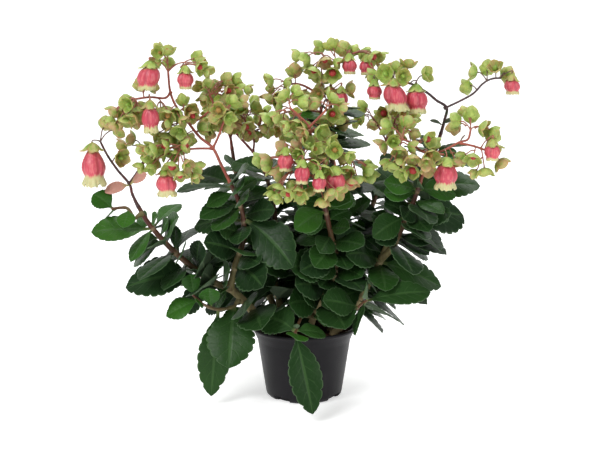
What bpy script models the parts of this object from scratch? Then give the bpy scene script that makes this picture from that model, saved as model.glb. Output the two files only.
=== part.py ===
"""A potted kalanchoe with nodding bell flowers: a nursery pot, its soil, branched canes, leaves, flower heads
and bells. Metres, +Z up, the front faces -Y. The origin is the centre of the pot's flat underside.

Hand-drawn routes are in millimetres, as x, y and height above the soil. They are drawn for a plant of
DRAWN_HEIGHT and DRAWN_SPREAD in a pot whose soil is DRAWN_SOIL_RADIUS wide, and are stretched from there.
"""

import math

import bmesh
import bpy
from mathutils import Matrix, Vector
from mathutils.bvhtree import BVHTree

for leftover in list(bpy.data.objects):
    bpy.data.objects.remove(leftover, do_unlink=True)

MM = 0.001

# Driving dimensions: the plant as a whole.
PLANT_HEIGHT = 0.313
PLANT_SPREAD = 0.485

# Driving dimensions: the pot and its soil.
POT_HEIGHT = 0.080
POT_RIM_RADIUS = 0.060
POT_COLLAR_FLARE = 0.008
POT_COLLAR_HEIGHT = 0.016
POT_BASE_RADIUS = 0.043
POT_EDGE_RADIUS = 0.005
POT_LIP_WIDTH = 0.0025
POT_LIP_HEIGHT = 0.0030
POT_WALL = 0.0018
POT_FLOOR = 0.0022
POT_SIDES = 26
DRAIN_COUNT = 4
DRAIN_FIRST_TURN = -36.0
DRAIN_WIDTH = 0.020
DRAIN_HEIGHT = 0.0055
SOIL_DROP = 0.008
SOIL_DISH = 0.0010

# Driving dimensions: canes, leaves and flowers.
GAP = 0.0003
CANE_DEPTH = 0.022
CANE_SIDES = 6
CANE_STEP = 0.018
COLLAR_WALL = 0.0022
COLLAR_HEIGHT = 0.004
TWIG_RADIUS = 0.0020
LEAF_LENGTH = 0.062
LEAF_WIDTH_SHARE = 0.62
LEAF_THICKNESS = 0.0018
LEAF_CLEARANCE = 0.0012
PETIOLE_WIDTH = 0.0040
STALK_RADIUS = 0.0017
ARM_RADIUS = 0.0011
PEDICEL_RADIUS = 0.0007
HOOK_RADIUS = 0.0016
HOOK_DROP = 0.0012
STALK_STEP = 0.016
STALK_SIDES = 4
CALYX_RADIUS = 0.0078
CALYX_DEPTH = 0.0065
BELL_SIDES = 8

# What the routes below are drawn for.
DRAWN_HEIGHT = 0.313
DRAWN_SPREAD = 0.485
DRAWN_SOIL_RADIUS = 0.0537

RISE = PLANT_HEIGHT / DRAWN_HEIGHT
REACH = PLANT_SPREAD / DRAWN_SPREAD
SOIL_TOP = POT_HEIGHT - SOIL_DROP

UP = Vector((0.0, 0.0, 1.0))
DOWN = -UP
# Leaves and side shoots turn their faces to the light, which comes from above and from the front.
LIGHT = Vector((0.0, -0.9, 1.0))


# ---- Solids ---------------------------------------------------------------------------------------------

def loft(rings):
    """The vertices and faces of a closed skin through rings of equal length; a ring of one point is a tip."""
    points = [point for ring in rings for point in ring]
    starts = []
    count = 0
    for ring in rings:
        starts.append(count)
        count += len(ring)
    faces = []
    for lower, upper, a, b in zip(rings, rings[1:], starts, starts[1:]):
        sides = max(len(lower), len(upper))
        for i in range(sides):
            j = (i + 1) % sides
            if len(lower) == 1:
                faces.append((a, b + i, b + j))
            elif len(upper) == 1:
                faces.append((a + i, b, a + j))
            else:
                faces.append((a + i, b + i, b + j, a + j))
    if len(rings[0]) > 1:
        faces.append(tuple(starts[0] + i for i in range(len(rings[0]))))
    if len(rings[-1]) > 1:
        faces.append(tuple(starts[-1] + i for i in reversed(range(len(rings[-1])))))
    return points, faces


def ring_mesh(shape, name="shape"):
    """A Blender mesh of a lofted shape, with its faces pointing out."""
    points, faces = shape
    mesh = bpy.data.meshes.new(name)
    body = bmesh.new()
    corners = [body.verts.new(point) for point in points]
    for face in faces:
        body.faces.new([corners[i] for i in face])
    bmesh.ops.recalc_face_normals(body, faces=body.faces)
    body.to_mesh(mesh)
    body.free()
    return mesh


def boolean(mesh, others, operation):
    """The mesh united with the others, or cut by them."""
    work = bpy.data.objects.new("work", mesh)
    bpy.context.scene.collection.objects.link(work)
    group = bpy.data.collections.new("operands")
    bpy.context.scene.collection.children.link(group)
    operands = [bpy.data.objects.new("operand", other) for other in others]
    for operand in operands:
        operand.hide_render = True
        operand.display_type = "WIRE"
        group.objects.link(operand)
    modifier = work.modifiers.new("combine", "BOOLEAN")
    modifier.solver = "EXACT"
    modifier.operation = operation
    modifier.operand_type = "COLLECTION"
    modifier.collection = group
    graph = bpy.context.evaluated_depsgraph_get()
    result = bpy.data.meshes.new_from_object(work.evaluated_get(graph))
    for leftover in operands + [work]:
        bpy.data.objects.remove(leftover, do_unlink=True)
    bpy.data.collections.remove(group)
    return result


def turned(profile, sides, centre=Vector(), axis=UP):
    """Rings round an axis from (radius, distance along the axis) pairs; a radius of 0 is one point."""
    side = axis.orthogonal().normalized() if abs(axis.z) < 0.999 else Vector((1.0, 0.0, 0.0))
    other = axis.cross(side).normalized()
    rings = []
    for radius, along in profile:
        middle = centre + axis * along
        if radius == 0:
            rings.append([middle])
            continue
        turns = [2 * math.pi * i / sides for i in range(sides)]
        rings.append([middle + (side * math.cos(t) + other * math.sin(t)) * radius for t in turns])
    return rings


# ---- Routes ---------------------------------------------------------------------------------------------

def smooth_route(points, step):
    """Points at equal spacing on a smooth curve through the given points."""
    padded = [points[0] * 2 - points[1]] + list(points) + [points[-1] * 2 - points[-2]]
    fine = []
    parts = 10
    for a, b, c, d in zip(padded, padded[1:], padded[2:], padded[3:]):
        for i in range(parts):
            t = i / parts
            fine.append(0.5 * (2 * b + (c - a) * t + (2 * a - 5 * b + 4 * c - d) * t * t
                               + (3 * b - a - 3 * c + d) * t ** 3))
    fine.append(points[-1])
    lengths = [(q - p).length for p, q in zip(fine, fine[1:])]
    total = sum(lengths)
    count = max(1, round(total / step))
    stations = [fine[0]]
    walked = 0.0
    for p, q, length in zip(fine, fine[1:], lengths):
        while len(stations) < count and walked + length >= total * len(stations) / count:
            share = (total * len(stations) / count - walked) / length
            stations.append(p.lerp(q, share))
        walked += length
    stations.append(fine[-1])
    return stations


def frames(stations):
    """A side direction at each station, carried along without twisting."""
    tangents = []
    for i in range(len(stations)):
        before = stations[max(i - 1, 0)]
        after = stations[min(i + 1, len(stations) - 1)]
        tangents.append((after - before).normalized())
    sides = [Vector((1.0, 0.0, 0.0)).cross(tangents[0]).cross(tangents[0]).normalized()]
    for before, after in zip(tangents, tangents[1:]):
        sides.append((before.rotation_difference(after) @ sides[-1]).normalized())
    return tangents, sides


def tube(stations, radii, sides_count, grow=0.0):
    """The shape of a round stem through its stations."""
    tangents, sides = frames(stations)
    rings = []
    for station, tangent, side, radius in zip(stations, tangents, sides, radii):
        other = tangent.cross(side)
        turns = [2 * math.pi * i / sides_count for i in range(sides_count)]
        rings.append([station + (side * math.cos(t) + other * math.sin(t)) * (radius + grow) for t in turns])
    return loft(rings)


def taper(start, end, count):
    return [start + (end - start) * i / (count - 1) for i in range(count)]


def along_route(stations, share):
    """The point a share of the way along evenly spaced stations."""
    place = share * (len(stations) - 1)
    k = min(int(place), len(stations) - 2)
    return stations[k].lerp(stations[k + 1], place - k)


def in_pot(x, y, height):
    """A place near the soil, which follows the pot's width."""
    room = SOIL_TOP_RADIUS / DRAWN_SOIL_RADIUS
    return Vector((x * MM * room, y * MM * room, SOIL_TOP + height * MM))


def in_air(x, y, height):
    """A place on the plant, which follows its spread and height."""
    return Vector((x * MM * REACH, y * MM * REACH, SOIL_TOP + height * MM * RISE))


def over_rim(x, y, height):
    """A place on a shoot that hangs over the pot: it keeps its distance to the rim."""
    flat = Vector((x * MM, y * MM, 0.0))
    outward = flat.normalized() * (POT_RIM_RADIUS - 60 * MM)
    return flat + outward + UP * (SOIL_TOP + height * MM)


# ---- What is already in place ----------------------------------------------------------------------------

placed = []
bell_blocks = []


def note(shape, kept=placed, stem=None):
    """Keeps a shape as something that later pieces have to clear, and says which stem it is, if any."""
    points, faces = shape
    low = Vector([min(p[k] for p in points) for k in range(3)])
    high = Vector([max(p[k] for p in points) for k in range(3)])
    kept.append((low, high, BVHTree.FromPolygons(points, faces), stem))


def is_clear(shape, kept=placed, own=()):
    """Whether a shape touches nothing that is kept, apart from what is its own."""
    points, faces = shape
    low = Vector([min(p[k] for p in points) for k in range(3)])
    high = Vector([max(p[k] for p in points) for k in range(3)])
    if low.z < POT_FLOOR:
        return False
    tree = None
    for other_low, other_high, other, stem in kept:
        if stem in own or any(high[k] < other_low[k] or low[k] > other_high[k] for k in range(3)):
            continue
        tree = tree or BVHTree.FromPolygons(points, faces)
        if tree.overlap(other):
            return False
    return True


# ---- The pot: thin moulded plastic with a flared collar, a rolled lip and drain notches at the base -------

COLLAR_LOW = POT_HEIGHT - POT_COLLAR_HEIGHT
COLLAR_TOP = POT_HEIGHT - POT_LIP_HEIGHT
WALL_OUTSIDE = [
    (POT_BASE_RADIUS, POT_EDGE_RADIUS),
    (POT_RIM_RADIUS - POT_COLLAR_FLARE, COLLAR_LOW),
    (POT_RIM_RADIUS - POT_LIP_WIDTH, COLLAR_TOP),
]


def wall_radius(height):
    """The outer radius of the pot's wall at a height, below the lip."""
    for (r0, z0), (r1, z1) in zip(WALL_OUTSIDE, WALL_OUTSIDE[1:]):
        if height <= z1:
            return r0 + (r1 - r0) * max(height - z0, 0.0) / (z1 - z0)
    return WALL_OUTSIDE[-1][0]


SOIL_TOP_RADIUS = wall_radius(SOIL_TOP) - POT_WALL - GAP


def pot_mesh():
    edge_turns = [math.radians(t) for t in (-90, -60, -30)]
    edge_middle = POT_BASE_RADIUS - POT_EDGE_RADIUS
    edge = []
    for turn in edge_turns:
        edge.append((edge_middle + POT_EDGE_RADIUS * math.cos(turn), POT_EDGE_RADIUS * (1 + math.sin(turn))))
    lip = [
        (POT_RIM_RADIUS, COLLAR_TOP),
        (POT_RIM_RADIUS, POT_HEIGHT - POT_LIP_WIDTH * 0.3),
        (POT_RIM_RADIUS - POT_LIP_WIDTH * 0.3, POT_HEIGHT),
        (POT_RIM_RADIUS - POT_LIP_WIDTH - POT_WALL, POT_HEIGHT),
    ]
    inside_heights = [COLLAR_TOP, COLLAR_LOW, POT_EDGE_RADIUS, POT_FLOOR]
    inside = [(wall_radius(z) - POT_WALL, z) for z in inside_heights]
    profile = [(0, 0)] + edge + WALL_OUTSIDE + lip + inside + [(0, POT_FLOOR)]
    solid = ring_mesh(loft(turned(profile, POT_SIDES)))
    cutters = []
    for i in range(DRAIN_COUNT):
        turn = math.radians(DRAIN_FIRST_TURN - 90 + 360 * i / DRAIN_COUNT)
        body = bmesh.new()
        bmesh.ops.create_cube(body, size=1.0)
        depth = POT_EDGE_RADIUS * 2
        bmesh.ops.scale(body, verts=body.verts, vec=(depth, DRAIN_WIDTH, DRAIN_HEIGHT * 2))
        bmesh.ops.translate(body, verts=body.verts, vec=(POT_BASE_RADIUS, 0, 0))
        bmesh.ops.rotate(body, verts=body.verts, cent=(0, 0, 0), matrix=Matrix.Rotation(turn, 3, "Z"))
        cutter = bpy.data.meshes.new("drain")
        body.to_mesh(cutter)
        body.free()
        cutters.append(cutter)
    return boolean(solid, cutters, "DIFFERENCE")


# ---- The canes: woody below, green above; two of them fork -------------------------------------------------

# Each cane: its points inside the pot's mouth, its points above, and its radii at the soil and at the tip.
CANES = {
    "cane_left": {
        "neck": [(-36, -14, 0), (-44, -19, 12)],
        "route": [(-63, -28, 38), (-80, -34, 56), (-99, -38, 65), (-123, -38, 83), (-148, -36, 106),
                  (-168, -32, 129), (-178, -28, 145)],
        "radii": (5.0, 2.4),
    },
    "cane_left_mid": {
        "neck": [(-19, 6, 0), (-23, 8, 10)],
        "route": [(-33, 16, 53), (-38, 22, 91), (-33, 26, 120), (-36, 30, 147), (-44, 32, 176)],
        "radii": (4.4, 2.2),
    },
    "cane_front": {
        "neck": [(6, -13, 0), (9, -16, 15)],
        "route": [(28, -22, 58), (35, -26, 84), (30, -30, 109), (23, -38, 141), (17, -46, 167)],
        "radii": (4.4, 2.2),
    },
    "cane_right_mid": {
        "neck": [(30, 5, 0), (37, 6, 13)],
        "route": [(56, 10, 54), (60, 14, 87), (48, 18, 118), (38, 22, 151), (32, 26, 184), (30, 28, 223),
                  (29, 26, 265)],
        "radii": (4.6, 2.1),
    },
    "cane_right": {
        "neck": [(33, -11, 0), (44, -13, 12)],
        "route": [(68, -14, 52), (85, -14, 86), (98, -12, 115), (113, -8, 141), (127, -2, 168), (141, 4, 194),
                  (150, 8, 221)],
        "radii": (4.8, 2.1),
    },
    "cane_centre": {
        "neck": [(-3, 20, 0), (-3, 23, 11)],
        "route": [(0, 38, 62), (9, 46, 119), (16, 48, 176), (19, 46, 222)],
        "radii": (4.4, 2.1),
    },
    "cane_back_left": {
        "neck": [(-27, 24, 0), (-31, 29, 11)],
        "route": [(-52, 54, 60), (-68, 78, 110), (-80, 98, 160), (-86, 108, 196)],
        "radii": (4.4, 2.2),
    },
    "cane_back_right": {
        "neck": [(23, 27, 0), (28, 32, 11)],
        "route": [(52, 60, 56), (74, 86, 106), (90, 106, 152), (98, 116, 190)],
        "radii": (4.4, 2.2),
    },
    "cane_back": {
        "neck": [(1, 38, 0), (1, 42, 11)],
        "route": [(-2, 76, 48), (-4, 108, 88), (-4, 130, 132), (-2, 142, 172)],
        "radii": (4.4, 2.2),
    },
}

# The two forks: the cane they grow on, their points from the fork up, and their radii.
FORKS = {
    "fork_left": {
        "cane": "cane_left",
        "route": [(-80, -34, 56), (-73, -38, 86), (-65, -38, 110), (-65, -38, 134), (-70, -38, 153),
                  (-79, -38, 173)],
        "radii": (3.7, 2.2),
    },
    "fork_right": {
        "cane": "cane_right",
        "route": [(85, -14, 86), (96, -22, 99), (105, -30, 122), (115, -38, 148), (122, -44, 173)],
        "radii": (3.4, 2.2),
    },
}


def stem_paths():
    """The stations and radii of every cane and fork, by name."""
    paths = {}
    for name, cane in CANES.items():
        root = in_pot(*cane["neck"][0])
        neck = [in_pot(*p) for p in cane["neck"]]
        points = [root + DOWN * CANE_DEPTH] + neck + [in_air(*p) for p in cane["route"]]
        stations = smooth_route(points, CANE_STEP)
        base, tip = cane["radii"]
        paths[name] = (stations, taper(base * MM, tip * MM, len(stations)))
    for name, fork in FORKS.items():
        stations = smooth_route([in_air(*p) for p in fork["route"]], CANE_STEP)
        base, tip = fork["radii"]
        start = nearest_on(paths[fork["cane"]][0], stations[0])[0]
        stations[0] = start
        paths[name] = (stations, taper(base * MM, tip * MM, len(stations)))
    return paths


def nearest_on(stations, point):
    """The nearest point of a route, the direction there and how far along it lies, from 0 to 1."""
    best = None
    for i, (a, b) in enumerate(zip(stations, stations[1:])):
        share = max(0.0, min(1.0, (point - a).dot(b - a) / (b - a).length_squared))
        spot = a.lerp(b, share)
        distance = (spot - point).length
        if best is None or distance < best[0]:
            best = (distance, spot, (b - a).normalized(), (i + share) / (len(stations) - 1))
    return best[1:]


# ---- Leaves --------------------------------------------------------------------------------------------

# The blade's outline: how far along the leaf, half its width there, and its thickness there, as shares.
LEAF_STATIONS = [(0.30, 0.62, 1.0), (0.56, 1.0, 1.0), (0.82, 0.74, 0.7)]
LEAF_FOLD = 0.16
LEAF_DROOP = 0.20


def leaf(base, direction, hint, length, width, grow=0.0, skip=0.0):
    """A blade on a short petiole, folded a little along its midrib and drooping to its tip.

    To test what it would touch, it is fattened all round by grow and starts a skip away from its base.
    """
    along = direction.normalized()
    across = along.cross(hint).normalized()
    face = across.cross(along)
    fall = DOWN * (length * LEAF_DROOP)

    def section(t, half, thick):
        middle = base + along * (length * t) + fall * (t * t)
        edge = across * half
        lift = face * (half * LEAF_FOLD + grow)
        return [middle - edge + lift, middle + edge + lift, middle - face * thick]

    rings = [section(skip / length, PETIOLE_WIDTH / 2 + grow, LEAF_THICKNESS + 2 * grow)]
    for t, half, thick in LEAF_STATIONS:
        rings.append(section(t, half * width / 2 + grow, LEAF_THICKNESS * thick + 2 * grow))
    rings.append([base + along * (length + grow) + fall])
    return loft(rings)


def leaf_choices():
    """Sizes, turns round the stem and lifts to try, the least changed first and then the far turns."""
    near = [0, -12, 12, -24, 24, -36, 36, -50, 50, -65, 65, -80, 80]
    far = [-100, 100, -125, 125, -150, 150, 180]
    lifts = [0, 12, -12, 24, -24, 36, -36, 50]
    for turns, sizes in ((near, (1.0, 0.86, 0.72, 0.58, 0.46, 0.36)), (far, (0.58, 0.46, 0.36, 0.27))):
        tries = sorted(((abs(t) + 1.2 * abs(l), t, l) for t in turns for l in lifts))
        for size in sizes:
            for _, turn, lift in tries:
                yield size, turn, lift


def settle_leaf(base, axis, direction, hint, length, width, stem, skip, is_separate=False):
    """The first of the choices in which the leaf clears everything in place, as its shape.

    Near its base it may meet its own stem, or only its collar if it is a piece that is separate from the stem.
    """
    ring = stem + " collar"
    for size, turn, lift in leaf_choices():
        aim = Matrix.Rotation(math.radians(turn), 3, axis) @ direction
        sideways = aim.cross(UP)
        if sideways.length > 0.2:
            aim = Matrix.Rotation(math.radians(lift), 3, sideways.normalized()) @ aim
        facing = Matrix.Rotation(math.radians(turn), 3, axis) @ hint
        whole = leaf(base, aim, facing, length * size, width * size, LEAF_CLEARANCE)
        outer = leaf(base, aim, facing, length * size, width * size, LEAF_CLEARANCE, skip)
        free = is_clear(whole, own=(stem, ring)) and is_clear(outer)
        if free and is_separate:
            free = is_clear(leaf(base, aim, facing, length * size, width * size, GAP), own=(ring,))
        if free:
            break
    shape = leaf(base, aim, facing, length * size, width * size)
    note(shape)
    return shape


# Leaf pairs on each stem: how many, where the first and last sit along it, the first and last leaf's share
# of LEAF_LENGTH, the turn of the first pair, and which pairs are pieces of their own on a collar.
LEAF_PAIRS = {
    "cane_left": (7, 0.30, 0.90, 1.05, 0.70, 20, (2, 3, 6)),
    "fork_left": (5, 0.26, 0.93, 0.95, 0.62, 75, (2,)),
    "cane_left_mid": (8, 0.21, 0.93, 1.05, 0.66, 40, (4,)),
    "cane_front": (8, 0.21, 0.93, 1.05, 0.66, 0, (3,)),
    "cane_right_mid": (10, 0.19, 0.94, 1.05, 0.62, 55, (4, 6)),
    "cane_right": (8, 0.27, 0.93, 1.05, 0.66, 10, (3, 4, 5)),
    "fork_right": (4, 0.30, 0.92, 0.90, 0.66, 60, (1,)),
    "cane_centre": (9, 0.20, 0.93, 1.05, 0.62, 30, (5,)),
    "cane_back_left": (8, 0.22, 0.92, 1.05, 0.66, 15, (4,)),
    "cane_back_right": (8, 0.24, 0.92, 1.05, 0.66, 70, (4,)),
    "cane_back": (8, 0.22, 0.92, 1.05, 0.66, 45, (4,)),
}
LEAF_LIFT = 14.0

# Pairs whose two tips come to known places: x, y and height of each tip.
LEAF_AIMS = {
    ("cane_left", 3): ((-188, -54, 66), (-70, -20, 108)),
    ("cane_left", 6): ((-221, -50, 124), (-136, -8, 146)),
    ("cane_right", 2): ((44, -54, 98), (147, -16, 98)),
    ("cane_right", 4): ((137, -48, 106), (186, -12, 132)),
    ("cane_right", 5): ((74, -34, 170), (187, -14, 168)),
    ("fork_left", 2): ((-22, -66, 92), (-112, -30, 124)),
    ("cane_front", 3): ((58, -66, 64), (-12, -62, 86)),
    ("fork_right", 1): ((152, -50, 144), (78, -56, 118)),
}


def pair_places(stations, radii, count, first, last):
    """The middles of the stem's straight lengths that the pairs sit on, with direction, radius and share."""
    spans = len(stations) - 1
    for i in range(count):
        share = first + (last - first) * i / (count - 1)
        k = min(int(share * spans), spans - 1)
        middle = stations[k].lerp(stations[k + 1], 0.5)
        direction = (stations[k + 1] - stations[k]).normalized()
        yield middle, direction, (radii[k] + radii[k + 1]) / 2, k, i / (count - 1)


def collar(stations, radii, k):
    """The ring that a separate leaf pair clasps the stem with, aligned with the stem's own sides."""
    tangents, sides = frames(stations)
    direction = (stations[k + 1] - stations[k]).normalized()
    side = (sides[k] - direction * sides[k].dot(direction)).normalized()
    other = direction.cross(side)
    middle = stations[k].lerp(stations[k + 1], 0.5)
    radius = max(radii[k], radii[k + 1]) + GAP
    rings = []
    corners = [(0, -1), (1, -1), (1, 1), (0, 1)]
    for outer, end in corners:
        size = radius + outer * COLLAR_WALL
        centre = middle + direction * (end * COLLAR_HEIGHT / 2)
        turns = [2 * math.pi * i / CANE_SIDES for i in range(CANE_SIDES)]
        rings.append([centre + (side * math.cos(t) + other * math.sin(t)) * size for t in turns])
    points = [p for ring in rings for p in ring]
    faces = []
    for a in range(4):
        b = (a + 1) % 4
        for i in range(CANE_SIDES):
            j = (i + 1) % CANE_SIDES
            faces.append((a * CANE_SIDES + i, b * CANE_SIDES + i, b * CANE_SIDES + j, a * CANE_SIDES + j))
    return points, faces


# ---- Side shoots: a short twig with a few leaves, each leaf given by where its tip comes -----------------

SHOOTS = {
    "shoot_front": {
        "stem": "cane_front",
        "where": over_rim,
        "twig": [(4, -22, 24), (-2, -40, 27), (-7, -60, 22), (-10, -80, 18)],
        "leaves": [(0.96, (5, -98, -47), 31), (0.93, (-55, -72, 28), 34), (0.90, (50, -92, 16), 31),
                   (0.87, (-4, -88, 48), 22), (0.98, (-16, -97, -2), 21)],
    },
    "shoot_right": {
        "stem": "cane_right",
        "where": over_rim,
        "twig": [(44, -18, 14), (50, -32, 24), (57, -44, 37), (67, -55, 49)],
        "leaves": [(0.96, (136, -50, 57), 27), (0.93, (106, -64, 8), 32), (0.78, (18, -74, 54), 32),
                   (0.90, (84, -80, 26), 26), (0.98, (83, -64, 72), 17)],
    },
    "shoot_left": {
        "stem": "cane_left",
        "where": in_air,
        "twig": [(-66, -30, 40), (-85, -38, 34), (-100, -44, 37), (-112, -48, 45), (-119, -50, 53)],
        "leaves": [(0.35, (-79, -66, -12), 46), (0.6, (-101, -44, -42), 32), (0.9, (-144, -54, 32), 23),
                   (0.7, (-100, -66, 68), 20), (0.98, (-121, -56, 82), 19), (0.95, (-137, -60, 50), 20)],
    },
    "shoot_far_left": {
        "stem": "cane_left",
        "where": in_air,
        "twig": [(-174, -29, 139), (-184, -32, 143), (-194, -34, 144), (-205, -38, 144)],
        "leaves": [(0.98, (-225, -44, 163), 24), (0.94, (-226, -42, 140), 18), (0.7, (-190, -52, 128), 18)],
    },
}


def shoot_path(shoot, stem, stem_radii):
    """The twig's stations: it leaves its stem squarely, a gap clear of the stem's skin."""
    points = [shoot["where"](*p) for p in shoot["twig"]]
    share = nearest_on(stem, points[0])[2]
    k = min(int(share * (len(stem) - 1)), len(stem) - 2)
    spot = stem[k].lerp(stem[k + 1], 0.5)
    along = (stem[k + 1] - stem[k]).normalized()
    radius = stem_radii[k]
    outward = points[1] - spot
    outward = (outward - along * outward.dot(along)).normalized()
    start = spot + outward * (radius + GAP)
    return [start, start + outward * (3 * MM)] + smooth_route([start + outward * (8 * MM)] + points[1:], STALK_STEP)


# ---- Flower heads: a stalk that carries on from its cane, arms, pedicels and green calyxes --------------

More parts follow.
